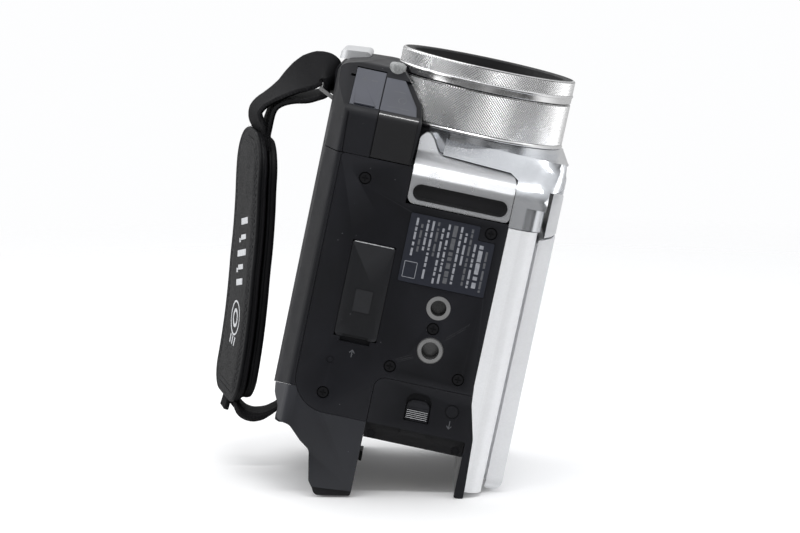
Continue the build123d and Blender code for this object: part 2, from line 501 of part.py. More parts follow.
# strap ring: a bore for its inner bar and two side slots
blk = blk - bx(-41.2, -39.2, -61.6, -59.2, 37.0, 53.0)
for rz0, rz1 in ((37.0, 38.8), (51.2, 53.0)):
    blk = blk - prism_z([(-39.3, -62.4), (-39.3, -58.6), (-50.0, -63.6), (-50.0, -68.4)], rz0, rz1)
TRIM_XY = [(-43.9, -76.9, 1.2), (-34.9, -77.7, 1.2), (-34.9, -74.0), (-43.9, -72.0)]
blk = blk - prism_z([(-50.0, -79.0), (-34.7, -79.0), (-34.7, -75.2), (-50.0, -73.2)], 35.8, 60.2)
put("front_grip_housing", sorted(blk.solids(), key=lambda q: -q.volume)[0], 1)

jc = facet_box(JC["x0"], JC["x1"], JC["u0"], JC["u1"], 0.0, 1.5)
jc = jc & prism_z([(-37.2, -78, 0), (-28.7, -78, 0), (-28.7, -60, 0.6), (-37.2, -60, 0.6)], -5, 30)
jc = jc - facet_box(-36.0, -29.9, 1.0, 2.9, -0.5, 0.35) + facet_box(-35.7, -30.2, 2.75, 3.35, -0.35, 0.2)
jc = jc + cx(PX[0], PX[1], 0.5, JC["x0"] - 0.7, JC["x1"] + 0.7)
put("jack_cover", sorted(jc.solids(), key=lambda q: -q.volume)[0], 1)
jp = facet_box(-36.1, -29.7, 4.1, 14.5, 3.4, 5.1)
for uu in (6.8, 12.0):
    c = fac(uu, 4.2)
    hole = Pos(-32.9, c[0], c[1]) * Rot(math.degrees(math.atan2(-N[0], N[1])), 0, 0) * Cylinder(1.75, 3.0)
    jp = jp - hole
put("jack_panel", sorted(jp.solids(), key=lambda q: -q.volume)[0], 1)
js = []
for uu in (6.8, 12.0):
    c = fac(uu, 4.0)
    rot = Rot(math.degrees(math.atan2(-N[0], N[1])), 0, 0)
    js.append(Pos(-32.9, c[0], c[1]) * rot * (Cylinder(1.7, 2.2) - Cylinder(1.15, 3.0)))
put("jack_sockets", js)

FP_XY = [(-50, -90), (-25.0, -90), (-24.9, -76.9, 0.5), (-23.0, -73.6, 2.0), (-18.2, -67.0, 1.5), (-17.6, -64.0, 0.5), (-17.4, -51.05), (-50, -51.05)]
fp = facet_box(-28.35, -16.4, 2.25, 15.1, 0.0, 0.85) & prism_z(FP_XY, -5, 90)
fp = fp - cy(-26.0, 15.0, 2.5, -90, -60)
put("facet_panel", sorted(fp.solids(), key=lambda q: -q.volume)[0], 1)
gw = skin(-28.25, -16.85, -51.2, 0.03, 0.9, 2.15)
put("gloss_window", sorted(gw.solids(), key=lambda q: -q.volume)[0], 1)
lamp = cy(-26.0, 15.0, 2.4, -78.0, -74.1)
lamp = lamp.solid().fillet(1.2, [e for e in lamp.edges() if abs(e.center().Y + 78.0) < 0.01])
put("front_lamp", lamp, 1)
trim = prism_z(TRIM_XY, 36.0, 60.0) - prism_z([(-50.0, -73.4), (-34.0, -75.45), (-34.0, -60), (-50, -60)], 30, 70)
trim = trim & prism_y([(-43.9, 36.0, 3.0), (-34.9, 36.0, 1.5), (-34.9, 60.0, 1.5), (-43.9, 60.0, 4.0)], -80, -70)
trim = trim - lens_clear
put("front_trim", sorted(trim.solids(), key=lambda q: -q.volume)[0], 1)

# --------------------------------------------------------------------- lens
# fixed front ring with the filter thread
put("lens_front_ring", lathe_y([(FILTER_R, -81.6), (23.4, -82.0), (25.9, -82.0), (26.1, -81.7), (26.1, -77.6),
                                (26.35, -77.4), (26.35, -77.0), (26.1, -76.8), (26.1, -75.1), (24.1, -75.1),
                                (24.1, -78.4), (FILTER_R, -78.4)]), 1)
put("focus_ring", lathe_y([(TUBE_R + RING_RUN, -74.95), (25.95, -74.95), (26.1, -74.8), (26.1, -62.4), (26.3, -62.2),
                           (26.3, -61.9), (26.1, -61.7), (TUBE_R + RING_RUN, -61.7)]), 1)
put("lens_tube", lathe_y([(22.9, -78.3), (TUBE_R, -78.3), (TUBE_R, -61.62), (22.6, -61.62), (22.6, -58.2), (19.9, -58.2), (19.9, -38.6), (18.4, -38.6),
                          (18.4, -60.0), (21.9, -60.0), (21.9, -66.0), (22.9, -66.0)]), 1)
put("lens_baffle", lathe_y([(22.85, -77.9), (22.85, -72.4), (17.6, -72.4), (18.2, -73.2), (19.0, -73.2), (19.0, -74.3),
                            (20.0, -74.3), (20.0, -75.5), (21.0, -75.5), (21.0, -76.7), (21.8, -76.7), (21.8, -77.9)]), 1)
glass = lathe_y([(0.0, -75.4), (6.0, -75.0), (12.0, -73.9), (17.4, -72.2), (22.4, -72.2), (22.4, -68.6), (0.0, -68.0)])
put("front_element", glass, 1)
put("lens_group", lathe_y([(0.0, -59.0), (13.0, -58.0), (18.35, -58.0), (18.35, -42.0), (13.0, -42.0), (0.0, -40.6)]), 1)
put("sensor_block", bx(-13.0, 13.0, -29.8, -20.0, 24.0, 50.0), 1)

# ------------------------------------------------------------ inner pieces
ch = bx(-24.5, 13.5, -37.3, 16.4, 7.2, 8.6) + bx(-25.9, -24.5, -37.3, 16.4, 7.2, 60.0) + bx(-24.5, 13.5, 15.0, 16.4, 7.2, 60.0)
put("chassis", sorted(ch.solids(), key=lambda q: -q.volume)[0], 1)
put("storage_unit", bx(-38.6, -30.6, -50.2, 12.0, 8.5, 60.0), 1)
brd = bx(17.2, 18.4, -36.0, 26.0, 8.0, 62.0) + bx(15.6, 17.2, -20, -8, 20, 32) + bx(15.2, 17.2, 2, 14, 36, 50)
put("main_board", brd, 1)

# -------------------------------------------------------------------- display
ARM_IN = 25.35
arm = cz(HINGE_X, HINGE_Y, HINGE_R, 9.8, 60.7)
arm = arm + prism_z([(ARM_IN, HINGE_Y), (HINGE_X + HINGE_R - 0.02, HINGE_Y), (28.3, -39.95, 0.3), (27.2, -38.7, 0.8), (ARM_IN, -37.95, 0)], 9.8, 60.7)
arm = arm + prism_z([(ARM_IN, HINGE_Y + HINGE_R + 0.2, 0.2), (28.25, HINGE_Y + HINGE_R + 0.2, 0.5), (28.3, -39.95, 0.3), (27.2, -38.7, 0.8), (ARM_IN, -37.95, 0)], 6.4, 64.1)
arm = arm - cz(HINGE_X, HINGE_Y, 1.45, 0, 80) - cy(26.7, 35.0, 1.2, -42.0, -30)
put("lcd_hinge_arm", sorted(arm.solids(), key=lambda q: -q.volume)[0], 1)
put("lcd_tilt_shaft", cy(26.7, 35.0, 1.15, -41.9, -33.2), 1)

lc = prism_z([(LCD_MID, -36.9, 0.2), (25.3, -37.3, 1.0), (27.25, -38.2, 1.0), (28.35, -39.4, 0.2), (28.8, 37.7, 3.4), (LCD_MID, 38.2, 0.8)], LCD_Z0, LCD_Z1)
lc = lc & prism_x([(-50, LCD_Z0, 0), (38.3, LCD_Z0, 4.5), (38.3, LCD_Z1, 4.5), (-50, LCD_Z1, 0)], 20, 40)
le = [e for e in lc.edges() if e.bounding_box().min.X > 28.2 and e.bounding_box().size.Y > 20]
try:
    lc = lc.solid().fillet(0.8, le)
except Exception as ex:
    print("cover edge skipped", ex)
lc = lc + prism_x([(LCD_F, LCD_Z0 + 1.4, 0.8), (LCD_B, LCD_Z0 + 1.4, 3.8), (LCD_B, LCD_Z1 - 1.4, 3.8), (LCD_F, LCD_Z1 - 1.4, 0.8)], LCD_STEP, LCD_MID + 0.1)
lc = lc - cy(26.7, 35.0, 1.2, -45, -33.1)
put("lcd_cover", sorted(lc.solids(), key=lambda q: -q.volume)[0], 1)
lb = prism_x([(LCD_F + 0.3, LCD_Z0 + 1.6, 0.8), (LCD_B - 0.3, LCD_Z0 + 1.6, 3.6), (LCD_B - 0.3, LCD_Z1 - 1.6, 3.6), (LCD_F + 0.3, LCD_Z1 - 1.6, 0.8)], LCD_IN, LCD_STEP - 0.01)
lb = lb - bx(22.0, 23.4, -26.0, 32.0, 14.2, 58.0)
put("lcd_bezel", lb, 1)
put("lcd_screen", bx(22.3, 23.18, -25.9, 31.9, 14.3, 57.9), 1)

# ---------------------------------------------------------------- top controls
zl = cz(ZOOM_X, ZOOM_Y, 7.4, TOP_Z - 0.8, TOP_Z + 1.4) + prism_z([(ZOOM_X - 4.0, ZOOM_Y - 9.4, 2.0), (ZOOM_X + 4.0, ZOOM_Y - 9.4, 2.0), (ZOOM_X + 5.0, ZOOM_Y - 4.0), (ZOOM_X - 5.0, ZOOM_Y - 4.0)], TOP_Z + 0.15, TOP_Z + 2.0)
zl = zl - cz(ZOOM_X, ZOOM_Y, 4.95, 60, 80)
put("zoom_lever", zl, 1)
post = cz(ZOOM_X, ZOOM_Y, 4.9, TOP_Z - 5.0, TOP_Z + 1.1) - cz(ZOOM_X, ZOOM_Y, 4.1, TOP_Z - 1.2, 80) - cz(ZOOM_X, ZOOM_Y, 1.5, 60, 80)
put("zoom_post", post, 1)
sb = cz(ZOOM_X, ZOOM_Y, 3.85, TOP_Z + 0.2, TOP_Z + 2.3) + cz(ZOOM_X, ZOOM_Y, 1.4, TOP_Z - 4.0, TOP_Z + 0.3)
put("snapshot_button", sb, 1)

# ------------------------------------------------------------------- hand strap
STX, STZ = -60.0, 45.0


def tilt(s):
    return Pos(STX, 0, STZ) * Rot(0, STRAP_TILT, 0) * Pos(-STX, 0, -STZ) * s


# line of the pad's outer face at mid height, top to bottom
face = [(-66.3, -47.5), (-65.9, -43.0), (-64.7, -33.0), (-63.3, -24.0), (-62.1, -15.0), (-61.2, -6.0), (-60.2, 3.0), (-59.4, 12.0),
        (-58.9, 21.0), (-58.7, 29.0), (-58.6, 35.0)]
PAD_O, PAD_GAP, PAD_I = 2.75, 0.7, 3.05          # outer pad, webbing space, inner pad


def shift(path, d):
    out = []
    n = len(path)
    for i in range(n):
        a, b = path[max(i - 1, 0)], path[min(i + 1, n - 1)]
        v = (b[0] - a[0], b[1] - a[1])
        l = math.hypot(*v)
        out.append((path[i][0] + v[1] / l * d, path[i][1] - v[0] / l * d))
    return out


def pad_outline(y0, y1, z0, z1, r0, r1):
    return prism_x([(y0, z0, r0), (y1, z0, r1), (y1, z1, r1), (y0, z1, r0)], -90, -30)


pad_o = ribbon(shift(face, PAD_O / 2), PAD_O, 30.0, 60.0) & pad_outline(-47.0, 34.6, 30.3, 59.7, 12.0, 8.0)
pad_i = ribbon(shift(face, PAD_O + PAD_GAP + PAD_I / 2), PAD_I, 30.0, 60.0) & pad_outline(-46.0, 33.0, 31.3, 58.7, 12.0, 8.0)
put("strap_pad_outer", tilt(pad_o), 1)
put("strap_pad_inner", tilt(pad_i), 1)
# one continuous webbing: through the ring, between the pads and into the rear slot
core = shift(face, PAD_O + PAD_GAP / 2)
core = [(-62.9, -53.0)] + core + [(-54.7, 36.6)]
webbing = tilt(ribbon(core, 0.5, 37.0, 53.0))
webbing = webbing + ribbon([(-62.4, -50.6), (-65.2, -52.4), (-64.6, -56.0), (-62.0, -59.6), (-58.4, -63.2), (-54.6, -66.6), (-51.0, -68.6), (-47.9, -69.4),
                            (-45.7, -67.8), (-45.1, -65.6), (-45.5, -63.9)], 1.9, 39.3, 50.7)
webbing = webbing + ribbon([(-61.7, -50.2), (-61.4, -53.8), (-59.8, -56.9), (-56.6, -58.9), (-52.8, -59.9), (-49.6, -61.3), (-47.8, -61.9), (-46.2, -62.5), (-45.4, -63.8), (-45.1, -65.6)], 1.5, 39.5, 50.5)
webbing = webbing + ribbon([(-53.9, 35.3), (-52.7, 36.7), (-50.9, 37.6), (-48.0, 38.0), (-45.0, 37.0), (-42.6, 35.0), (-41.4, 33.1), (-38.0, 32.35)], 1.4, 33.0, 48.5)
put("strap_webbing", webbing, 1)
ring_a, ring_b = (-40.2, -60.4), (-47.6, -64.0)
rt = 0.55


def ring_bar(p, z0, z1):
    return cz(p[0], p[1], rt, z0, z1)


ring = ring_bar(ring_a, 37.4, 52.6) + ring_bar(ring_b, 37.4, 52.6)
for rz in (37.95, 52.05):
    ring = ring + ribbon([ring_a, ring_b], 2 * rt, rz - rt, rz + rt)
put("strap_ring", ring, 1)
put("strap_rear_bar", cz(-36.9, 32.35, 0.6, 30.6, 50.4), 1)

# --------------------------------------------------------------------- export
for name, ss in NODES.items():
    shape = ss[0] if len(ss) == 1 else Compound(ss)
    export_step(shape, f"parts/{name}.step")
print(len(NODES), "nodes")
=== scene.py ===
import math
import random

import bmesh
import bpy
from mathutils import Matrix, Vector, noise


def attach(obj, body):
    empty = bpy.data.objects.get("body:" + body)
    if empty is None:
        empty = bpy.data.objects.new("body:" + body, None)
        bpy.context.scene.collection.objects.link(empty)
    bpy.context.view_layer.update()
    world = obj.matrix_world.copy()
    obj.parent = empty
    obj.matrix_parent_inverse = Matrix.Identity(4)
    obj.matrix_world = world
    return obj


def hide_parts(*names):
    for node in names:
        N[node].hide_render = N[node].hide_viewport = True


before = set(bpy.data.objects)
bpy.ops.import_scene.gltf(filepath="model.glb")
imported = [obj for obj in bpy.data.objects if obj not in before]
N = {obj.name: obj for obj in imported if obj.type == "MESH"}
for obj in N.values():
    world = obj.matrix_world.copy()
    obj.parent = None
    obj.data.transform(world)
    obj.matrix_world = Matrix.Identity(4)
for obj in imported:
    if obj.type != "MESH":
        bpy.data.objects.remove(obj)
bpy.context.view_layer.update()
MM = 0.001
scene = bpy.context.scene
scene.view_settings.view_transform = "Standard"
scene.view_settings.look = "None"
scene.view_settings.exposure = 0.0
scene.view_settings.gamma = 1.0


# ------------------------------------------------------------------ camera
def camera():
    loc = Vector((-13.47, -127.88, -700.0)) * MM
    tgt = Vector((-13.47, -22.18, 0.0)) * MM
    fwd = (tgt - loc).normalized()
    up0 = Vector((0, -1, 0))
    up0 = (up0 - fwd * up0.dot(fwd)).normalized()
    right0 = fwd.cross(up0)
    r = math.radians(12.0)
    up = math.cos(r) * up0 - math.sin(r) * right0
    right = fwd.cross(up)
    cam = bpy.data.objects.new("camera", bpy.data.cameras.new("camera"))
    scene.collection.objects.link(cam)
    m = Matrix((right, up, -fwd)).transposed().to_4x4()
    m.translation = loc
    cam.matrix_world = m
    cam.data.sensor_width = 36.0
    cam.data.lens = 3.5 * (tgt - loc).length / MM / 800.0 * 36.0
    cam.data.clip_start = 0.01
    cam.data.clip_end = 20.0
    scene.camera = cam
    return right, up, fwd


CAM_R, CAM_U, CAM_F = camera()


# --------------------------------------------------------------- materials
class NT:
    """Small helper that builds a node tree."""

    def __init__(self, name):
        self.mat = bpy.data.materials.new(name)
        self.mat.use_nodes = True
        self.nt = self.mat.node_tree
        self.nt.nodes.clear()
        self.out = self.node("ShaderNodeOutputMaterial")

    def node(self, kind, **kw):
        n = self.nt.nodes.new(kind)
        for k, v in kw.items():
            setattr(n, k, v)
        return n

    def put(self, sock, val):
        if isinstance(val, bpy.types.NodeSocket):
            self.nt.links.new(val, sock)
        elif val is not None:
            if sock.type == "RGBA" and len(val) == 3:
                val = (*val, 1.0)
            sock.default_value = val

    def bsdf(self, **kw):
        b = self.node("ShaderNodeBsdfPrincipled")
        for k, v in kw.items():
            self.put(b.inputs[k.replace("_", " ")], v)
        self.nt.links.new(b.outputs[0], self.out.inputs[0])
        return b

    def coord(self, which="Object", scale=(1, 1, 1), rot=(0, 0, 0), loc=(0, 0, 0)):
        t = self.node("ShaderNodeTexCoord")
        m = self.node("ShaderNodeMapping")
        m.inputs["Scale"].default_value = scale
        m.inputs["Rotation"].default_value = rot
        m.inputs["Location"].default_value = loc
        self.nt.links.new(t.outputs[which], m.inputs[0])
        return m.outputs[0]

    def noise(self, vec, scale, detail=3.0, rough=0.55, dist=0.0):
        n = self.node("ShaderNodeTexNoise")
        self.put(n.inputs["Vector"], vec)
        n.inputs["Scale"].default_value = scale
        n.inputs["Detail"].default_value = detail
        n.inputs["Roughness"].default_value = rough
        n.inputs["Distortion"].default_value = dist
        return n.outputs[0]

    def voronoi(self, vec, scale, feature="F1", out=0, rand=1.0):
        n = self.node("ShaderNodeTexVoronoi", feature=feature)
        self.put(n.inputs["Vector"], vec)
        n.inputs["Scale"].default_value = scale
        n.inputs["Randomness"].default_value = rand
        return n.outputs[out]

    def ramp(self, fac, stops, interp="LINEAR"):
        r = self.node("ShaderNodeValToRGB")
        r.color_ramp.interpolation = interp
        els = r.color_ramp.elements
        while len(els) < len(stops):
            els.new(0.5)
        for e, (p, c) in zip(els, stops):
            e.position = p
            e.color = (c, c, c, 1) if isinstance(c, (int, float)) else (*c, 1)
        self.put(r.inputs[0], fac)
        return r.outputs[0]

    def math(self, op, a, b=None, c=None, clamp=False):
        m = self.node("ShaderNodeMath", operation=op, use_clamp=clamp)
        self.put(m.inputs[0], a)
        if b is not None:
            self.put(m.inputs[1], b)
        if c is not None:
            self.put(m.inputs[2], c)
        return m.outputs[0]

    def mix(self, fac, a, b, blend="MIX"):
        m = self.node("ShaderNodeMix", data_type="RGBA", blend_type=blend)
        self.put(m.inputs[0], fac)
        self.put(m.inputs[6], a)
        self.put(m.inputs[7], b)
        return m.outputs[2]

    def maprange(self, v, a, b, c, d):
        m = self.node("ShaderNodeMapRange")
        self.put(m.inputs[0], v)
        for i, x in enumerate((a, b, c, d)):
            self.put(m.inputs[i + 1], x)
        return m.outputs[0]

    def sep(self, vec):
        s = self.node("ShaderNodeSeparateXYZ")
        self.put(s.inputs[0], vec)
        return s.outputs

    def bump(self, h, strength=0.3, dist=0.0001, normal=None):
        b = self.node("ShaderNodeBump")
        b.inputs["Strength"].default_value = strength
        b.inputs["Distance"].default_value = dist
        self.put(b.inputs["Height"], h)
        if normal is not None:
            self.put(b.inputs["Normal"], normal)
        return b.outputs[0]

    def edge(self, lo=0.52, hi=0.62):
        g = self.node("ShaderNodeNewGeometry")
        return self.maprange(g.outputs["Pointiness"], lo, hi, 0.0, 1.0)


def plastic(name, base, rough=0.5, grain=900.0, depth=0.00003, strength=0.35, tint=(1.0, 1.0, 1.12),
            vary=0.25, edge=0.25, dust=0.35, coat=0.0, spec=0.5, scratch=0.5):
    """Moulded plastic: fine spark texture, slow tone change, paler edges, a little dust and a few hairline scratches."""
    t = NT(name)
    v = t.coord()
    big = t.noise(v, 38.0, 3.0)
    fine = t.noise(v, grain, 2.0, 0.6)
    cell = t.voronoi(v, grain * 1.3)
    h = t.math("ADD", fine, t.math("MULTIPLY", cell, 0.6))
    c0 = tuple(base[i] * (1 - vary) for i in range(3))
    c1 = tuple(min(1, base[i] * (1 + vary) * tint[i]) for i in range(3))
    col = t.mix(t.maprange(big, 0.3, 0.7, 0.0, 1.0), c0, c1)
    col = t.mix(t.math("MULTIPLY", t.edge(), edge), col, tuple(min(1.0, b * 3.2 + 0.02) for b in base))
    # dust specks
    sp = t.voronoi(v, 420.0)
    spot = t.math("LESS_THAN", sp, 0.045)
    where = t.math("GREATER_THAN", t.noise(v, 90.0, 1.0), 0.56)
    dusty = t.math("MULTIPLY", t.math("MULTIPLY", spot, where), dust)
    col = t.mix(dusty, col, (0.42, 0.42, 0.45))
    # hairline scratches
    vs = t.coord(scale=(1.0, 0.06, 1.0), rot=(0, 0, 0.6))
    sc = t.noise(vs, 900.0, 0.0)
    line = t.math("MULTIPLY", t.math("GREATER_THAN", sc, 0.845), t.math("GREATER_THAN", t.noise(v, 60.0, 0.0), 0.57))
    col = t.mix(t.math("MULTIPLY", line, 0.35 * scratch), col, (0.3, 0.3, 0.32))
    rr = t.maprange(t.noise(v, 140.0, 3.0), 0.3, 0.7, rough - 0.07, rough + 0.09)
    rr = t.math("ADD", rr, t.math("MULTIPLY", dusty, 0.3))
    t.bsdf(Base_Color=col, Roughness=rr, Normal=t.bump(h, strength, depth), Coat_Weight=coat, Coat_Roughness=0.25,
           Specular_IOR_Level=spec)
    return t.mat


def silver(name, base=(0.93, 0.94, 0.96), metal=0.1, rough=0.34, flake=2600.0, brushed=None, coat=0.25, wear=0.15):
    """Metallic lacquer: flake sparkle under clear coat, faint handling marks, duller worn edges."""
    t = NT(name)
    v = t.coord()
    fl = t.voronoi(v, flake, out=1)
    fs = t.sep(fl)[0]
    col = t.mix(t.maprange(fs, 0.0, 1.0, 0.0, 1.0), tuple(b * 0.98 for b in base), tuple(min(1, b * 1.02) for b in base))
    slow = t.noise(v, 55.0, 4.0)
    col = t.mix(t.maprange(slow, 0.35, 0.75, 0.0, 0.22), col, tuple(b * 0.8 for b in base))
    col = t.mix(t.math("MULTIPLY", t.edge(0.53, 0.66), wear), col, (0.42, 0.41, 0.4))
    smear = t.noise(t.coord(scale=(1, 0.25, 1), rot=(0.2, 0.1, 0.5)), 160.0, 4.0)
    rr = t.maprange(smear, 0.3, 0.75, rough - 0.05, rough + 0.1)
    h = t.math("ADD", t.math("MULTIPLY", fs, 0.35), t.noise(v, 1500.0, 2.0))
    if brushed:
        h = t.math("ADD", h, t.noise(t.coord(scale=brushed), 1200.0, 2.0))
    t.bsdf(Base_Color=col, Metallic=metal, Roughness=rr, Coat_Weight=coat, Coat_Roughness=0.12,
           Normal=t.bump(h, 0.06, 0.00002))
    return t.mat


def metal(name, base=(0.8, 0.8, 0.81), rough=0.2, turned=None, strength=0.15, grime=0.25, knurl=False, bore_shade=False):
    """Bare metal, with turning or brushing lines, blotchy grime, darker where the surface is concave, painted shadow
    and dirt in the knurl floors and painted shade in the socket bores.
    """
    t = NT(name)
    v = t.coord()
    cloud = t.noise(v, 120.0, 4.0)
    col = t.mix(t.maprange(cloud, 0.35, 0.7, 0.0, grime), base, tuple(b * 0.62 for b in base))
    g = t.node("ShaderNodeNewGeometry")
    # darker where the surface is concave (pointiness)
    cav = t.maprange(g.outputs["Pointiness"], 0.42, 0.5, 1.0, 0.0)
    col = t.mix(t.math("MULTIPLY", cav, 0.5 if not knurl else 0.35), col, tuple(b * 0.3 for b in base))
    h = t.noise(t.coord(scale=turned or (1, 1, 1)), 1400.0, 3.0)
    rr = t.maprange(t.noise(v, 260.0, 3.0), 0.3, 0.7, rough - 0.05, rough + 0.1)
    if knurl:
        # distance from the lens axis: the floors of the knurling hold dirt and shadow
        xyz = t.sep(v)
        zz = t.math("SUBTRACT", xyz[2], 0.037)
        rad = t.math("SQRT", t.math("ADD", t.math("MULTIPLY", xyz[0], xyz[0]), t.math("MULTIPLY", zz, zz)))
        peak = t.maprange(rad, 0.02589, 0.02606, 0.0, 1.0)
        peak = t.math("MAXIMUM", peak, t.math("LESS_THAN", rad, 0.02587), clamp=True)
        col = t.mix(peak, tuple(b * 0.34 for b in base), base)
        rr = t.maprange(t.noise(v, 900.0, 2.0), 0.3, 0.7, rough - 0.03, rough + 0.05)
    if bore_shade:
        # painted shade: ambient occlusion darkens the socket bores almost to black
        ao = t.node("ShaderNodeAmbientOcclusion")
        ao.inputs["Distance"].default_value = 0.004
        col = t.mix(t.maprange(ao.outputs["AO"], 0.25, 0.75, 0.0, 1.0), tuple(b * 0.05 for b in base), col)
    t.bsdf(Base_Color=col, Metallic=1.0, Roughness=rr, Normal=t.bump(h, strength, 0.00002))
    return t.mat


def simple(name, base, rough, metallic=0.0, scale=300.0, vary=0.2, bump=0.2, **kw):
    t = NT(name)
    v = t.coord()
    n = t.noise(v, scale, 4.0)
    col = t.mix(t.maprange(n, 0.3, 0.7, 0.0, 1.0), tuple(b * (1 - vary) for b in base), tuple(min(1, b * (1 + vary)) for b in base))
    rr = t.maprange(t.noise(v, scale * 2.0, 3.0), 0.3, 0.7, max(0.02, rough - 0.06), min(1, rough + 0.08))
    t.bsdf(Base_Color=col, Roughness=rr, Metallic=metallic, Normal=t.bump(t.noise(v, scale * 5, 3.0), bump, 0.00003), **kw)
    return t.mat


M = {}
M["black"] = plastic("plate_black", (0.0085, 0.0088, 0.0108), rough=0.42, grain=1500.0, strength=0.22, spec=0.26)
M["panel"] = plastic("panel_black", (0.0095, 0.0098, 0.0118), rough=0.44, grain=1500.0, strength=0.22, spec=0.26)
M["door"] = plastic("door_grey", (0.0125, 0.013, 0.0145), rough=0.38, grain=1300.0, strength=0.16, vary=0.12, spec=0.4)
M["grip"] = plastic("grip_black", (0.009, 0.0093, 0.011), rough=0.46, grain=1100.0, strength=0.35, spec=0.22)
M["rear"] = plastic("rear_grey", (0.020, 0.021, 0.0245), rough=0.42, grain=1600.0, strength=0.2, vary=0.12, scratch=0.3)
# painted light: the sloping facet and the jack cover get a grey well above the other black plastics, standing in for
# the light they catch from above
M["facet"] = plastic("facet_grey_painted_light", (0.052, 0.055, 0.066), rough=0.42, grain=1600.0, strength=0.2, vary=0.12, scratch=0.2)
M["dark"] = plastic("bay_black", (0.006, 0.006, 0.0072), rough=0.5, grain=1200.0, strength=0.3, dust=0.15)
M["gloss"] = plastic("gloss_black", (0.004, 0.004, 0.005), rough=0.08, grain=300.0, strength=0.03, vary=0.1, dust=0.25, coat=0.6, scratch=0.2, edge=0.1)
M["silver"] = silver("silver_paint")
M["trim"] = silver("silver_trim", base=(0.70, 0.71, 0.73), metal=0.3)
M["silver2"] = silver("silver_bracket", base=(0.66, 0.67, 0.69), metal=0.75, rough=0.3)
M["barrel"] = silver("silver_barrel", base=(0.80, 0.82, 0.855), metal=0.85, rough=0.16, coat=0.4, wear=0.2)
M["ring"] = metal("ring_metal", (0.96, 0.96, 0.965), 0.24, turned=(1, 12, 1), knurl=True, grime=0.0)
M["steel"] = metal("bush_steel", (0.78, 0.78, 0.785), 0.24, bore_shade=True)
M["screw"] = metal("screw_dark", (0.055, 0.055, 0.06), 0.38)
M["brass"] = metal("contact_gold", (0.85, 0.62, 0.28), 0.25)
M["casting"] = simple("casting", (0.42, 0.42, 0.43), 0.5, metallic=0.9)
M["board"] = simple("board_green", (0.02, 0.12, 0.06), 0.4)
M["lamp"] = simple("lamp_diffuser", (0.42, 0.43, 0.43), 0.25, scale=500.0, vary=0.04, Transmission_Weight=0.25)
M["lens_black"] = simple("lens_black", (0.008, 0.008, 0.009), 0.6, scale=500.0)
M["screen"] = simple("screen_black", (0.01, 0.012, 0.016), 0.08, scale=80.0, bump=0.01, Coat_Weight=0.5)


def glass(name):
    t = NT(name)
    v = t.coord()
    lw = t.node("ShaderNodeLayerWeight")
    lw.inputs[0].default_value = 0.35
    tint = t.ramp(lw.outputs["Facing"], [(0.0, (0.03, 0.02, 0.05)), (0.5, (0.02, 0.05, 0.04)), (1.0, (0.10, 0.07, 0.16))])
    col = t.mix(t.maprange(t.noise(v, 60, 3), 0.3, 0.8, 0.0, 0.25), tint, (0.01, 0.02, 0.05))
    t.bsdf(Base_Color=col, Roughness=t.maprange(t.noise(v, 200, 3), 0.4, 0.8, 0.02, 0.06), Specular_IOR_Level=0.9, Coat_Weight=1.0, Coat_Roughness=0.02)
    return t.mat


M["glass"] = glass("coated_glass")


def label_mat(name):
    t = NT(name)
    v = t.coord()
    n = t.noise(v, 700.0, 2.0)
    col = t.mix(n, (0.014, 0.0165, 0.026), (0.022, 0.025, 0.038))
    t.bsdf(Base_Color=col, Roughness=t.maprange(t.noise(v, 90.0, 2.0), 0.3, 0.7, 0.33, 0.45), Normal=t.bump(n, 0.15, 0.00002))
    return t.mat


M["label"] = label_mat("label_film")
M["ink"] = simple("pale_ink", (0.30, 0.31, 0.34), 0.55, scale=900.0)
M["ink_dim"] = simple("grey_ink", (0.11, 0.114, 0.125), 0.55, scale=900.0)

ASSIGN = {
    "black": ["bottom_cover"],
    "panel": ["latch_panel", "battery_latch", "top_cover", "leg_wall"],
    "door": ["sd_door"],
    "grip": ["grip_shell", "front_grip_housing"],
    "rear": ["rear_grip_housing"],
    "facet": ["jack_cover", "facet_panel"],
    "dark": ["battery_plate", "battery_rail", "rear_panel", "mode_dial", "dial_hub", "card_socket", "jack_panel",
             "side_panel", "mic_grille", "lcd_bezel", "zoom_post"],
    "gloss": ["gloss_window", "dc_jack"],
    "trim": ["front_trim"],
    "silver": ["side_shell", "lcd_cover", "lcd_hinge_arm", "zoom_lever", "snapshot_button",
               "record_button", "play_button", "info_button"],
    "silver2": ["mic_bracket"],
    "barrel": ["front_housing"],
    "ring": ["lens_front_ring", "focus_ring"],
    "steel": ["tripod_socket", "locating_socket", "hinge_pin", "lcd_tilt_shaft", "strap_ring", "strap_rear_bar", "jack_sockets"],
    "screw": ["body_screws"],
    "brass": ["battery_terminals"],
    "casting": ["chassis", "storage_unit", "sensor_block"],
    "board": ["main_board"],
    "lamp": ["front_lamp"],
    "lens_black": ["lens_tube", "lens_baffle"],
    "glass": ["front_element", "lens_group"],
    "screen": ["lcd_screen"],
    "label": ["rating_label"],
    "grip_": [],
}


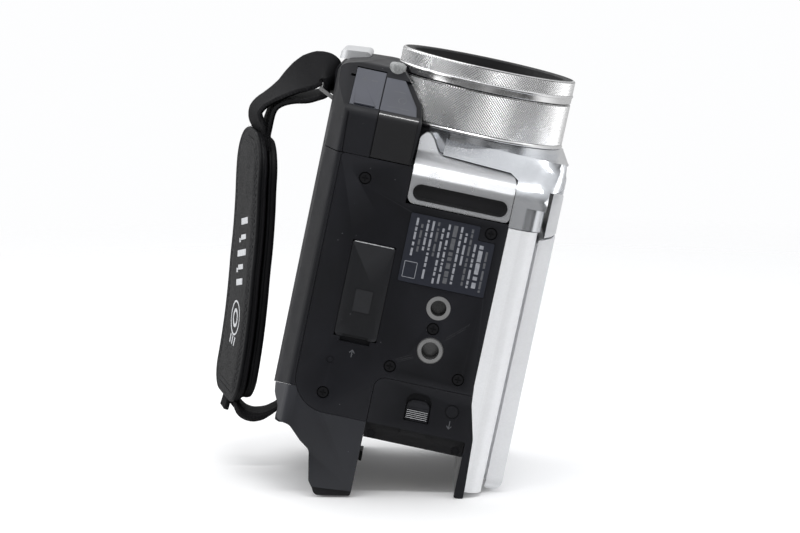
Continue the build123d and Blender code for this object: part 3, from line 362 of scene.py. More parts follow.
def leather(name, base=(0.0075, 0.0077, 0.009), rough=0.46, scale=1500.0, strength=0.5):
    """Synthetic leather: small raised cells with creases between them, polished on the high spots."""
    t = NT(name)
    v = t.coord()
    warp = t.noise(v, 500.0, 2.0)
    wv = t.node("ShaderNodeVectorMath", operation="ADD")
    t.put(wv.inputs[0], v)
    ws = t.node("ShaderNodeVectorMath", operation="SCALE")
    t.put(ws.inputs[0], warp)
    ws.inputs["Scale"].default_value = 0.0004
    t.put(wv.inputs[1], ws.outputs[0])
    cell = t.voronoi(wv.outputs[0], scale, feature="DISTANCE_TO_EDGE")
    h = t.maprange(cell, 0.0, 0.22, 0.0, 1.0)
    big = t.noise(v, 60.0, 3.0)
    col = t.mix(t.maprange(big, 0.3, 0.7, 0.0, 1.0), tuple(b * 0.8 for b in base), tuple(b * 1.35 for b in base))
    col = t.mix(t.math("MULTIPLY", t.math("SUBTRACT", 1.0, h, clamp=True), 0.5), col, (0.006, 0.006, 0.007))
    rr = t.maprange(h, 0.0, 1.0, rough + 0.2, rough - 0.03)
    t.bsdf(Base_Color=col, Roughness=rr, Normal=t.bump(h, strength, 0.00006), Specular_IOR_Level=0.2)
    return t.mat


def woven(name, base=(0.0055, 0.0055, 0.0064), scale=(1, 1, 1), pitch=1100.0):
    """Nylon weave: crossed yarns with a soft sheen."""
    t = NT(name)
    v = t.coord(scale=scale)
    w1 = t.node("ShaderNodeTexWave", wave_type="BANDS", bands_direction="Z")
    t.put(w1.inputs["Vector"], v)
    w1.inputs["Scale"].default_value = pitch
    w1.inputs["Distortion"].default_value = 0.6
    w1.inputs["Detail"].default_value = 1.0
    n = t.noise(v, 2600.0, 3.0)
    h = t.math("ADD", t.math("MULTIPLY", w1.outputs[1], 0.6), t.math("MULTIPLY", n, 0.7))
    col = t.mix(h, tuple(b * 0.5 for b in base), tuple(b * 1.9 for b in base))
    t.bsdf(Base_Color=col, Roughness=0.75, Normal=t.bump(h, 0.8, 0.00010), Specular_IOR_Level=0.2)
    return t.mat


M["leather"] = leather("strap_leather")
M["leather2"] = leather("strap_lining", base=(0.006, 0.0062, 0.0072), rough=0.52, scale=2200.0, strength=0.35)
M["web"] = woven("strap_webbing")
M["knit"] = woven("strap_side_band", base=(0.005, 0.005, 0.006), pitch=1600.0)
M["thread"] = simple("stitch_thread", (0.024, 0.024, 0.027), 0.6, scale=1500.0)
M["scuff"] = simple("scuffed_plastic", (0.045, 0.046, 0.05), 0.6, scale=900.0)
# pale grey used as painted highlight on the latch rib crests and the card door edge
M["catch"] = simple("painted_highlight", (0.5, 0.505, 0.52), 0.35, scale=900.0)
M["mark"] = simple("pale_print", (0.6, 0.61, 0.63), 0.5, scale=900.0, vary=0.12)
for key, names in ASSIGN.items():
    for nm in names:
        o = N[nm]
        for s in o.material_slots:
            s.material = M[key]
for nm in ("strap_pad_outer", "strap_pad_inner", "strap_webbing"):
    for s in N[nm].material_slots:
        s.material = M["leather"]


# ---------------------------------------------------------- softened edges
def soften(nm, width, segs=2, angle=32.0):
    o = N[nm]
    d = o.modifiers.new("planar", "DECIMATE")
    d.decimate_type = "DISSOLVE"
    d.angle_limit = math.radians(0.6)
    b = o.modifiers.new("edge", "BEVEL")
    b.width = width * MM
    b.segments = segs
    b.limit_method = "ANGLE"
    b.angle_limit = math.radians(angle)
    b.harden_normals = False
    b.use_clamp_overlap = True
    w = o.modifiers.new("normals", "WEIGHTED_NORMAL")
    w.keep_sharp = False



# ------------------------------------------------------- knurled metal rings
AX = Vector((0.0, 0.0, 37.0))


def finish_mesh(name, bm, mat, body="root", smooth=True, angle=None):
    me = bpy.data.meshes.new(name)
    bmesh.ops.recalc_face_normals(bm, faces=bm.faces)
    bm.to_mesh(me)
    bm.free()
    me.materials.append(mat)
    if smooth:
        me.polygons.foreach_set("use_smooth", [True] * len(me.polygons))
        if angle:
            me.set_sharp_from_angle(angle=math.radians(angle))
    me.update()
    o = bpy.data.objects.new(name, me)
    scene.collection.objects.link(o)
    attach(o, body)
    return o


def knurled(name, rows, seg, mat, body, node, inner=None):
    """Closed ring about the lens axis. rows: (radius, y, knurl depth) round the section."""
    bm = bmesh.new()
    rings = []
    for j, (r, y, k) in enumerate(rows):
        ring = []
        for i in range(seg):
            a = 2 * math.pi * i / seg
            rr = r - (k if (i + j) % 2 else 0.0)
            ring.append(bm.verts.new((rr * math.cos(a) * MM, y * MM, (AX.z + rr * math.sin(a)) * MM)))
        rings.append(ring)
    n = len(rings)
    for j in range(n):
        a, b = rings[j], rings[(j + 1) % n]
        for i in range(seg):
            k = (i + 1) % seg
            if rows[j][2] and rows[(j + 1) % n][2]:
                # split each cell from peak to peak so the diamonds stay crisp
                if (i + j) % 2:
                    bm.faces.new((a[i], a[k], b[i]))
                    bm.faces.new((a[k], b[k], b[i]))
                else:
                    bm.faces.new((a[i], a[k], b[k]))
                    bm.faces.new((a[i], b[k], b[i]))
            else:
                bm.faces.new((a[i], a[k], b[k], b[i]))
    o = finish_mesh(name, bm, mat, body, smooth=True, angle=26)
    if inner:
        o.data.materials.append(inner)
        for p in o.data.polygons:
            c = p.center
            if math.hypot(c.x, c.z - AX.z * MM) < 25.35 * MM and c.y < -78.4 * MM:
                p.material_index = 1
    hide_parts(node)
    return o


def band(y0, y1, r, depth, step=0.41):
    n = max(2, int(round(abs(y1 - y0) / step)))
    return [(r, y0 + (y1 - y0) * i / n, depth) for i in range(n + 1)]


SEG = 400
front_rows = [(22.6, -81.55, 0), (22.95, -81.9, 0), (23.4, -82.0, 0), (25.3, -82.0, 0), (25.75, -81.93, 0), (25.98, -81.75, 0)]
front_rows += band(-81.45, -77.75, 26.08, 0.20)
front_rows += [(26.12, -77.6, 0), (26.33, -77.4, 0), (26.33, -77.05, 0), (26.12, -76.85, 0), (26.08, -76.6, 0), (26.08, -75.4, 0), (25.95, -75.2, 0),
               (24.6, -75.05, 0), (24.1, -75.2, 0), (24.1, -78.3, 0), (22.9, -78.35, 0), (22.6, -78.5, 0), (22.5, -79.5, 0), (22.6, -80.5, 0)]
focus_rows = [(24.05, -74.9, 0), (24.9, -74.95, 0), (25.75, -74.92, 0), (25.98, -74.75, 0)]
focus_rows += band(-74.45, -62.95, 26.08, 0.20)
focus_rows += [(26.0, -62.7, 0), (26.12, -62.5, 0), (26.3, -62.3, 0), (26.3, -61.95, 0), (26.15, -61.75, 0), (25.6, -61.7, 0), (24.05, -61.72, 0), (24.05, -68.0, 0)]
knurled("ring_front_knurl", front_rows, SEG, M["ring"], "root", "lens_front_ring", M["lens_black"])
knurled("ring_focus_knurl", focus_rows, SEG, M["ring"], "lens_ring", "focus_ring")


# ------------------------------------------------------------ lens elements
def lathed(name, prof, mat, node, seg=128):
    """Closed solid of revolution about the lens axis. prof runs from the axis round the section and back to it."""
    bm = bmesh.new()
    first = bm.verts.new((0.0, prof[0][1] * MM, AX.z * MM))
    last = bm.verts.new((0.0, prof[-1][1] * MM, AX.z * MM))
    rings = []
    for r, y in prof[1:-1]:
        rings.append([bm.verts.new((r * math.cos(2 * math.pi * i / seg) * MM, y * MM, (AX.z + r * math.sin(2 * math.pi * i / seg)) * MM)) for i in range(seg)])
    for i in range(seg):
        k = (i + 1) % seg
        bm.faces.new((first, rings[0][i], rings[0][k]))
        bm.faces.new((last, rings[-1][k], rings[-1][i]))
        for p, q in zip(rings, rings[1:]):
            bm.faces.new((p[i], q[i], q[k], p[k]))
    o = finish_mesh(name, bm, mat, "root", smooth=True, angle=24)
    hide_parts(node)
    return o


def cap(apex, r1, y1, n=22):
    """Arc of a sphere from the axis out to (r1, y1)."""
    sag = y1 - apex
    big = (r1 * r1 + sag * sag) / (2 * abs(sag))
    return [(r1 * i / n, apex + math.copysign(big - math.sqrt(big * big - (r1 * i / n) ** 2), sag)) for i in range(n + 1)]


lathed("front_element_dome", cap(-75.4, 17.4, -72.2) + [(22.4, -72.2), (22.4, -68.6)] + list(reversed(cap(-68.0, 22.3, -68.58))), M["glass"], "front_element")
lathed("lens_group_dome", cap(-59.0, 13.0, -58.0) + [(18.35, -58.0), (18.35, -42.0), (13.05, -42.0)] + list(reversed(cap(-40.6, 13.0, -41.98))), M["glass"], "lens_group")


# ------------------------------------------------------------- hand strap
TILT = math.radians(-17.8)
FACE = [(-66.3, -47.5), (-65.9, -43.0), (-64.7, -33.0), (-63.3, -24.0), (-62.1, -15.0), (-61.2, -6.0), (-60.2, 3.0), (-59.4, 12.0),
        (-58.9, 21.0), (-58.7, 29.0), (-58.6, 35.0)]


def spline(pts, n):
    """n points evenly spaced along a Catmull-Rom curve."""
    p = [Vector((*q, 0.0)) if len(q) == 2 else Vector(q) for q in pts]
    p = [p[0] * 2 - p[1]] + p + [p[-1] * 2 - p[-2]]
    fine = []
    for i in range(1, len(p) - 2):
        for k in range(24):
            t = k / 24
            fine.append(0.5 * ((2 * p[i]) + (p[i + 1] - p[i - 1]) * t + (2 * p[i - 1] - 5 * p[i] + 4 * p[i + 1] - p[i + 2]) * t * t
                               + (3 * p[i] - p[i - 1] - 3 * p[i + 1] + p[i + 2]) * t ** 3))
    fine.append(p[-2])
    acc = [0.0]
    for a, b in zip(fine, fine[1:]):
        acc.append(acc[-1] + (b - a).length)
    out, j = [], 0
    for i in range(n):
        s = acc[-1] * i / (n - 1)
        while j < len(acc) - 2 and acc[j + 1] < s:
            j += 1
        f = (s - acc[j]) / max(1e-9, acc[j + 1] - acc[j])
        out.append(fine[j].lerp(fine[j + 1], min(1.0, max(0.0, f))))
    return out


def tilt(v):
    """Lean of the strap about its length: x moves with height."""
    return Vector((v.x + math.tan(TILT) * (v.z - 45.0), v.y, v.z))


PATH = spline(FACE, 241)


def face_at(y):
    for a, b in zip(PATH, PATH[1:]):
        if a.y <= y <= b.y:
            f = (y - a.y) / (b.y - a.y)
            p = a.lerp(b, f)
            t = (b - a).normalized()
            return p, Vector((t.y, -t.x, 0.0))
    a, b = (PATH[0], PATH[1]) if y < PATH[0].y else (PATH[-2], PATH[-1])
    t = (b - a).normalized()
    p = (PATH[0] if y < PATH[0].y else PATH[-1]) + t * (y - (PATH[0].y if y < PATH[0].y else PATH[-1].y)) / t.y
    return p, Vector((t.y, -t.x, 0.0))


def on_pad(y, z, d):
    """Point d mm in from the outer face of the strap (towards the body)."""
    p, n = face_at(y)
    q = p + n * d
    return tilt(Vector((q.x, q.y, z)))


def half_width(y, y0, y1, w, r0, r1):
    h = w
    if y < y0 + r0:
        h = w - r0 + math.sqrt(max(0.0, r0 * r0 - (y0 + r0 - y) ** 2))
    if y > y1 - r1:
        h = min(h, w - r1 + math.sqrt(max(0.0, r1 * r1 - (y - y1 + r1) ** 2)))
    return h


def pad(name, y0, y1, zc, w, r0, r1, d0, thick, mats, node, crown_out, crown_in, groove, nv=150, nu=44):
    """Closed padded form. d0: depth of its outer side, crown_*: extra swell in the middle of each side."""
    bm = bmesh.new()
    stations = []
    for i in range(nv + 1):
        s = i / nv
        # crowd the stations at both ends, where the outline turns
        s = 0.5 - 0.5 * math.cos(math.pi * s) * (0.35 + 0.65) if False else s
        e = 0.5 - 0.5 * math.cos(math.pi * s)
        s = 0.45 * s + 0.55 * e
        stations.append(y0 + (y1 - y0) * s)
    rings = []
    for y in stations:
        hw = max(0.6, half_width(y, y0, y1, w, r0, r1))
        ends = min(y - y0, y1 - y)
        re = thick * 0.5
        endf = math.sqrt(max(0.0, 1 - (1 - min(1.0, ends / re)) ** 2)) if ends < re else 1.0
        ring = []
        for side in (1, -1):
            for k in range(nu):
                u = -1 + 2 * (k + 0.5) / nu if side == 1 else 1 - 2 * (k + 0.5) / nu
                uu = math.sin(u * math.pi / 2)
                z = zc + hw * uu
                dist = hw * (1 - abs(uu))           # from the edge
                edge = min(dist, ends)
                r = thick * 0.5
                lift = r * math.sqrt(max(0.0, 1 - (1 - min(1.0, dist / r)) ** 2)) * max(0.12, endf)
                swell = min(1.0, edge / 6.0)
                swell = swell * swell * (3 - 2 * swell)
                wr = noise.noise(Vector((y * 0.16, z * 0.16, side * 3.0 + d0))) * 0.16 * swell
                g = 0.0
                for gd, gw, gh in groove:
                    g += gh * math.exp(-((edge - gd) / gw) ** 2)
                if side == 1:
                    d = d0 + thick * 0.5 - lift - crown_out * swell + g * (1 if edge > 0.3 else 0) - wr
                else:
                    d = d0 + thick * 0.5 + lift + crown_in * swell - g * 0.6 * (1 if edge > 0.3 else 0) + wr
                ring.append(bm.verts.new(on_pad(y, z, d) * MM))
        rings.append(ring)
    n = len(rings[0])
    for a, b in zip(rings, rings[1:]):
        for i in range(n):
            k = (i + 1) % n
            bm.faces.new((a[i], a[k], b[k], b[i]))
    for ring, flip in ((rings[0], True), (rings[-1], False)):
        half = n // 2
        for i in range(half - 1):
            q = (ring[i], ring[i + 1], ring[n - 2 - i], ring[n - 1 - i])
            bm.faces.new(q if not flip else tuple(reversed(q)))
    for f in bm.faces:
        f.material_index = 0
    o = finish_mesh(name, bm, mats[0], "root")
    for m in mats[1:]:
        o.data.materials.append(m)
    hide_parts(node)
    return o


OUT_W = 14.6
pad_o = pad("strap_outer_cushion", -47.0, 34.6, 45.0, OUT_W, 12.0, 8.0, 0.15, 2.55, [M["leather"]], "strap_pad_outer", 0.35, 0.0,
            [(2.4, 0.35, 0.28), (4.0, 0.35, 0.28)])
pad_i = pad("strap_inner_cushion", -46.0, 33.0, 45.0, 13.7, 12.0, 8.0, 3.5, 2.75, [M["leather2"]], "strap_pad_inner", 0.0, 0.45,
            [(1.7, 0.35, 0.22)])


def tube(name, pts, r, mat, closed=False, seg=10, join=None):
    bm = join or bmesh.new()
    n = len(pts)
    rings = []
    ref = Vector((0, 0, 1))
    for i, p in enumerate(pts):
        a = pts[(i - 1) % n] if (closed or i) else pts[0]
        b = pts[(i + 1) % n] if (closed or i < n - 1) else pts[-1]
        t = (b - a).normalized()
        u = t.cross(ref)
        if u.length < 1e-4:
            u = t.cross(Vector((1, 0, 0)))
        u.normalize()
        v = t.cross(u)
        rr = r
        rings.append([bm.verts.new((p + (u * math.cos(2 * math.pi * k / seg) + v * math.sin(2 * math.pi * k / seg)) * rr) * MM) for k in range(seg)])
    m = n if closed else n - 1
    for i in range(m):
        a, b = rings[i], rings[(i + 1) % n]
        for k in range(seg):
            bm.faces.new((a[k], a[(k + 1) % seg], b[(k + 1) % seg], b[k]))
    if not closed:
        bm.faces.new(rings[0])
        bm.faces.new(list(reversed(rings[-1])))
    if join is not None:
        return None
    return finish_mesh(name, bm, mat, "root")


def outline(y0, y1, w, r0, r1, inset, d, n=220):
    """Closed line round the pad at a set distance in from its edge."""
    y0, y1, w = y0 + inset, y1 - inset, w - inset
    r0, r1 = max(0.5, r0 - inset), max(0.5, r1 - inset)
    pts = []
    for cyy, czz, r, a0 in ((y1 - r1, w - r1, r1, 0), (y0 + r0, w - r0, r0, 90), (y0 + r0, -(w - r0), r0, 180), (y1 - r1, -(w - r1), r1, 270)):
        for k in range(13):
            a = math.radians(a0 + 90 * k / 12)
            pts.append((cyy + r * math.cos(a), czz + r * math.sin(a)))
    pts.append(pts[0])
    ln = [0.0]
    for a, b in zip(pts, pts[1:]):
        ln.append(ln[-1] + math.hypot(b[0] - a[0], b[1] - a[1]))
    out, j = [], 0
    for i in range(n):
        s = ln[-1] * i / n
        while ln[j + 1] < s:
            j += 1
        f = (s - ln[j]) / (ln[j + 1] - ln[j])
        y = pts[j][0] + (pts[j + 1][0] - pts[j][0]) * f
        z = pts[j][1] + (pts[j + 1][1] - pts[j][1]) * f
        out.append(on_pad(y, 45.0 + z, d))
    return out, ln[-1]


# rolled piping round the outer face, a lower roll behind it and a hem
pip, _ = outline(-47.0, 34.6, OUT_W, 12.0, 8.0, 0.35, 0.75, 300)
o = tube("strap_piping", pip, 0.72, M["leather"], closed=True, seg=12)
pip2, _ = outline(-46.7, 34.3, OUT_W, 12.0, 8.0, 0.35, 2.35, 300)
o = tube("strap_back_roll", pip2, 0.5, M["knit"], closed=True, seg=10)
pip3, _ = outline(-46.0, 33.0, 13.7, 12.0, 8.0, 0.3, 4.0, 300)
o = tube("strap_lining_roll", pip3, 0.5, M["leather2"], closed=True, seg=10)


def stitches(name, y0, y1, w, r0, r1, inset, d, length, pitch, rad, mat):
    line, total = outline(y0, y1, w, r0, r1, inset, d, 900)
    n = int(total / pitch)
    bm = bmesh.new()
    for k in range(n):
        i0 = int(900 * k / n)
        i1 = int(900 * (k + length / pitch) / n)
        pts = [line[i % 900] for i in range(i0, i1 + 1)]
        if len(pts) > 5:
            pts = [pts[0], pts[len(pts) // 3], pts[2 * len(pts) // 3], pts[-1]]
        _, nn = face_at(pts[0].y)
        m = len(pts)
        pts = [p - nn * (0.16 * math.sin(math.pi * q / (m - 1))) + nn * 0.05 for q, p in enumerate(pts)]
        tube("", pts, rad, mat, seg=6, join=bm)
    return finish_mesh(name, bm, mat, "root")


stitches("strap_stitch_a", -47.0, 34.6, OUT_W, 12.0, 8.0, 2.4, 0.16, 1.35, 1.9, 0.15, M["thread"])
stitches("strap_stitch_b", -47.0, 34.6, OUT_W, 12.0, 8.0, 4.0, 0.10, 1.35, 1.9, 0.15, M["thread"])

# ---------------------------------------------------------------- webbing
def ribbon(bm, pts, width, thick, roll, nu=26, zc=45.0, lean=False, rib=0.10, edge_roll=0.35):
    """Woven strap swept along pts. roll: turn about its own length at each point, in degrees."""
    n = len(pts)
    rings = []
    run = 0.0
    wide = width if isinstance(width, list) else [width, width]
    deep = thick if isinstance(thick, list) else [thick, thick]
    for i, p in enumerate(pts):
        g = i / (n - 1) * (len(wide) - 1)
        j = min(int(g), len(wide) - 2)
        width = wide[j] + (wide[j + 1] - wide[j]) * (g - j)
        g = i / (n - 1) * (len(deep) - 1)
        j = min(int(g), len(deep) - 2)
        thick = deep[j] + (deep[j + 1] - deep[j]) * (g - j)
        a, b = pts[max(i - 1, 0)], pts[min(i + 1, n - 1)]
        t = (b - a).normalized()
        if i:
            run += (p - pts[i - 1]).length
        zed = Vector((0, 0, 1))
        if lean:
            zed = Vector((math.tan(TILT), 0, 1)).normalized()
        nn = t.cross(zed).normalized()           # across the thickness
        f = i / (n - 1) * (len(roll) - 1)
        k = min(int(f), len(roll) - 2)
        ang = math.radians(roll[k] + (roll[k + 1] - roll[k]) * (f - k))
        w = zed * math.cos(ang) + nn * math.sin(ang)
        h = nn * math.cos(ang) - zed * math.sin(ang)
        ring = []
        for s in (1, -1):
            for q in range(nu + 1):
                u = -1 + 2 * q / nu if s == 1 else 1 - 2 * q / nu
                rr = 1.0 if abs(u) < 0.9 else math.sqrt(max(0.0, 1 - ((abs(u) - 0.9) / 0.1) ** 2))
                lump = edge_roll * 0.25 * math.exp(-((abs(u) - 0.86) / 0.07) ** 2)
                weave = rib * 0.5 * (math.sin(run * 6.2) * (1 if q % 2 else -1)) * (1 if abs(u) < 0.9 else 0.3)
                ring.append(bm.verts.new((p + w * (u * width / 2) + h * s * (thick / 2 * rr * 0.9 + lump * 0.6 + weave)) * MM))
        rings.append(ring)
    m = len(rings[0])
    for a, b in zip(rings, rings[1:]):
        for i in range(m):
            k = (i + 1) % m
            bm.faces.new((a[i], a[k], b[k], b[i]))
    for ring in (rings[0], rings[-1]):
        for i in range(nu):
            bm.faces.new((ring[i], ring[i + 1], ring[2 * nu - i], ring[2 * nu + 1 - i]))


wb = bmesh.new()
# the outer band, from the ring over the top and down into the pad
outer_band = [(-45.6, -63.6), (-45.1, -65.8), (-45.5, -68.2), (-47.3, -69.7), (-49.8, -69.2), (-52.8, -67.2), (-56.2, -64.2), (-59.0, -61.1),
              (-62.2, -57.9), (-64.6, -55.4), (-65.8, -53.0), (-65.3, -50.6), (-63.9, -48.6), (-63.0, -46.2), (-62.75, -42.0)]
ribbon(wb, [Vector((p.x, p.y, 45.0)) for p in spline(outer_band, 200)],
       [11.0, 11.4, 12.4, 13.6, 14.0, 13.6, 12.8, 12.0, 11.4, 11.0, 11.0, 11.4, 12.0, 12.0, 12.0], 1.75,
       [-10, -24, -38, -46, -47, -41, -32, -24, -19, -17, -19, -22, -21, -18.5, -17.8])
# the inner end, sewn to the same band behind the ring
inner_band = [(-45.6, -63.6), (-46.4, -62.4), (-48.0, -61.6), (-51.1, -60.2), (-54.5, -59.3), (-57.6, -58.0), (-59.9, -56.3), (-61.0, -54.2),
              (-61.4, -51.6), (-61.6, -48.6), (-61.9, -44.5)]
ribbon(wb, [Vector((p.x, p.y, 45.0)) for p in spline(inner_band, 150)], 11.0, 1.5, [-6, -9, -11, -11, -10, -10, -11, -13, -15, -17, -17.8])
# flat core between the two pads
core = []
for i in range(170):
    y = -46.0 + (37.2 + 46.0) * i / 169
    p, nn = face_at(y)
    q = p + nn * 3.1
    core.append(tilt(Vector((q.x, q.y, 45.0))))
ribbon(wb, core, 15.6, 0.55, [0, 0], lean=True, rib=0.05, edge_roll=0.1)
# round the rear bar
low = [(-54.1, 33.4), (-53.6, 35.2), (-52.4, 36.7), (-50.6, 37.7), (-48.0, 37.9), (-45.1, 36.9), (-42.7, 35.0), (-41.0, 33.4), (-39.2, 33.1), (-37.6, 33.3),
       (-36.3, 33.1), (-35.9, 32.3), (-36.3, 31.6), (-37.4, 31.3), (-39.0, 31.7)]
ribbon(wb, [Vector((p.x, p.y, 40.6)) for p in spline(low, 150)], [9.0, 12.5, 14.6, 14.6, 14.6, 14.6, 14.6, 14.6, 14.6, 14.6, 14.6, 14.6, 14.6, 14.6, 14.6],
       [1.6, 2.3, 2.9, 3.1, 3.1, 3.0, 2.6, 2.0, 1.45, 1.3, 1.3, 1.3, 1.3, 1.3, 1.3],
       [-6, -6, -6, -5, -4, -3, -2, -1, 0, 0, 0, 0, 0, 0, 0])
# loose end of the webbing below the pad
tip = [on_pad(y, 45.0, 1.75) for y in (33.2, 34.6, 36.0, 37.4, 38.6)]
ribbon(wb, [Vector((p.x - 0.15 * k, p.y, 45.0)) for k, p in enumerate(tip)], 6.4, 1.5, [-17.8, -17.8])
web = finish_mesh("strap_webbing_woven", wb, M["web"], "root")
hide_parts("strap_webbing")

# sewn bar tacks that hold the webbing behind the ring
tb = bmesh.new()
for row in range(2):
    for k in range(9):
        z = 40.6 + k * 1.1
        base = Vector((-52.2 - row * 2.3, -59.2 + row * 0.6, z))
        tube("", [base + Vector((0.05, -0.55, 0.2)), base + Vector((0.0, -0.62, 0.6)), base + Vector((-0.05, -0.55, 1.0))], 0.13, M["thread"], seg=6, join=tb)
finish_mesh("strap_bar_tacks", tb, M["thread"], "root")

# hook-and-loop pile showing between the two ends of the pads
fz = bmesh.new()
rnd = random.Random(11)
for k in range(2200):
    y = -48.6 + 7.2 * rnd.random() ** 0.8
    out = min(1.0, max(0.0, (-44.5 - y) / 4.5))
    z = 45 + rnd.uniform(-11.5, 11.5) * (1.0 - 0.35 * out)
    d = 2.9 + rnd.uniform(-1.5, 1.6) * (1.0 - 0.45 * out)
    p = on_pad(y, z, d)
    q = p + Vector((rnd.uniform(-0.25, 0.25), rnd.uniform(-0.75, -0.15), rnd.uniform(-0.25, 0.25)))
    m = (p + q) / 2 + Vector((rnd.uniform(-0.15, 0.15), rnd.uniform(-0.15, 0.15), rnd.uniform(-0.2, 0.2)))
    tube("", [p, m, q], 0.06, M["web"], seg=3, join=fz)
finish_mesh("strap_pile", fz, M["knit"], "root")

# abstract pale print along the outer face: a run of slanted strokes
def pad_stroke(bm, p, q, w, d0=-0.30, d1=0.15, rows=6):
    """Thin raised patch on the outer face between two (y, z) points."""
    dv = Vector((q[0] - p[0], q[1] - p[1], 0)).normalized()
    s = (-dv.y * w / 2, dv.x * w / 2)
    top, low = [], []
    for i in range(rows + 1):
        f = i / rows
        yy, zz = p[0] + (q[0] - p[0]) * f, p[1] + (q[1] - p[1]) * f
        for k in (-1, 1):
            top.append(bm.verts.new(on_pad(yy + s[0] * k, zz + s[1] * k, d0) * MM))
            low.append(bm.verts.new(on_pad(yy + s[0] * k, zz + s[1] * k, d1) * MM))
    for i in range(rows):
        a, b, c, d = 2 * i, 2 * i + 1, 2 * i + 3, 2 * i + 2
        bm.faces.new((top[a], top[b], top[c], top[d]))
        bm.faces.new((low[d], low[c], low[b], low[a]))
        bm.faces.new((top[a], top[d], low[d], low[a]))
        bm.faces.new((top[b], low[b], low[c], top[c]))
    bm.faces.new((top[0], low[0], low[1], top[1]))
    bm.faces.new((top[-2], top[-1], low[-1], low[-2]))


pm = bmesh.new()
for k, (dy, z0, z1) in enumerate(((0, 39.4, 47.4), (5.2, 40.6, 46.2), (9.6, 38.8, 48.6), (14.4, 40.6, 46.2), (18.8, 39.8, 47.0))):
    y0 = -20.5 + dy
    pad_stroke(pm, (y0, z0), (y0 + 0.26 * (z1 - z0), z1), 1.9 if k % 2 == 0 else 1.5, rows=8)
    if k in (1, 3):
        pad_stroke(pm, (y0 + 2.4, 46.6), (y0 + 2.7, 48.0), 1.3)
for rr, w in ((5.1, 0.55), (2.4, 1.0)):
    for k in range(22):
        t0, t1 = 2 * math.pi * (k - 0.03) / 22, 2 * math.pi * (k + 1.03) / 22
        pad_stroke(pm, (10.4 + rr * math.cos(t0), 43.6 + rr * math.sin(t0)), (10.4 + rr * math.cos(t1), 43.6 + rr * math.sin(t1)), w, rows=1)
for z in (41.0, 43.6, 46.2):
    pad_stroke(pm, (15.9, z), (18.6, z + 0.5), 0.8)
finish_mesh("strap_print", pm, M["mark"], "root", smooth=False)


# ------------------------------------------------------- printed and moulded marks
def bar(bm, x0, x1, y0, y1, z0, z1):
    vs = [bm.verts.new((x * MM, y * MM, z * MM)) for z in (z0, z1) for y in (y0, y1) for x in (x0, x1)]
    for f in ((0, 2, 3, 1), (4, 5, 7, 6), (0, 1, 5, 4), (2, 6, 7, 3), (0, 4, 6, 2), (1, 3, 7, 5)):
        bm.faces.new([vs[i] for i in f])


def stroke(bm, p, q, w, z0, z1):
    d = Vector((q[0] - p[0], q[1] - p[1], 0)).normalized()
    s = Vector((-d.y, d.x, 0)) * (w / 2)
    c = [Vector((p[0], p[1], 0)) - s, Vector((q[0], q[1], 0)) - s, Vector((q[0], q[1], 0)) + s, Vector((p[0], p[1], 0)) + s]
    lo = [bm.verts.new((v.x * MM, v.y * MM, z0 * MM)) for v in c]
    hi = [bm.verts.new((v.x * MM, v.y * MM, z1 * MM)) for v in c]
    bm.faces.new(lo)
    bm.faces.new(list(reversed(hi)))
    for i in range(4):
        k = (i + 1) % 4
        bm.faces.new((lo[i], hi[i], hi[k], lo[k]))


LZ0, LZ1 = 0.022, 0.06
lb = bmesh.new()
ld = bmesh.new()
rnd = random.Random(5)
x = 10.3
for row in range(14):
    if x < -12.6:
        break
    front = -32.9 if x > 6.0 else -37.0
    wide = 0.62 if row not in (1, 6) else 1.2
    y = front + (0.0 if row % 4 else 1.5)
    while y < -19.6:
        ln = rnd.choice((0.7, 1.1, 1.6, 2.2, 2.8)) * (1.5 if row in (1, 6) else 1.0)
        if y + ln > -19.2 or (x - wide < -8.4 and y + ln > -25.2):
            break
        bar(lb if row % 3 else ld, x - wide, x, y, y + ln, LZ0, LZ1)
        y += ln + rnd.choice((0.35, 0.45, 0.7))
        if row in (4, 9, 12) and y > -27.0:
            break
    x -= wide + 0.92
# one plain framed field
for fx, fy, fw, fh in ((-12.4, -24.2, 3.6, 4.6),):
    for a, b in (((fx, fy), (fx + fw, fy)), ((fx, fy + fh), (fx + fw, fy + fh)), ((fx, fy), (fx, fy + fh)), ((fx + fw, fy), (fx + fw, fy + fh))):
        stroke(lb, a, b, 0.16, LZ0, LZ1)
finish_mesh("label_print", lb, M["ink"], "root", smooth=False)
finish_mesh("label_print_dim", ld, M["ink_dim"], "root", smooth=False)

mk = bmesh.new()
# latch mark: small arrow; card door mark: plain arrow
for p, q in (((9.9, 18.9), (9.9, 21.2)), ((9.9, 21.3), (9.2, 20.4)), ((9.9, 21.3), (10.6, 20.4))):
    stroke(mk, p, q, 0.22, -0.02, 0.05)
for p, q in (((-21.85, 4.6), (-21.85, 6.6)), ((-21.85, 4.4), (-22.6, 5.3)), ((-21.85, 4.4), (-21.1, 5.3))):
    stroke(mk, p, q, 0.22, -0.02, 0.05)
finish_mesh("moulded_marks", mk, M["ink_dim"], "root", smooth=False)

# marks on the sloping face of the grip block
FY, FZ = -63.2, 0.0
LU = math.hypot(11.4, 12.3)
UU = (-11.4 / LU, 12.3 / LU)
NNV = (12.3 / LU, 11.4 / LU)


def facp(x, u, n):
    return Vector((x, FY + UU[0] * u + NNV[0] * n, FZ + UU[1] * u + NNV[1] * n))


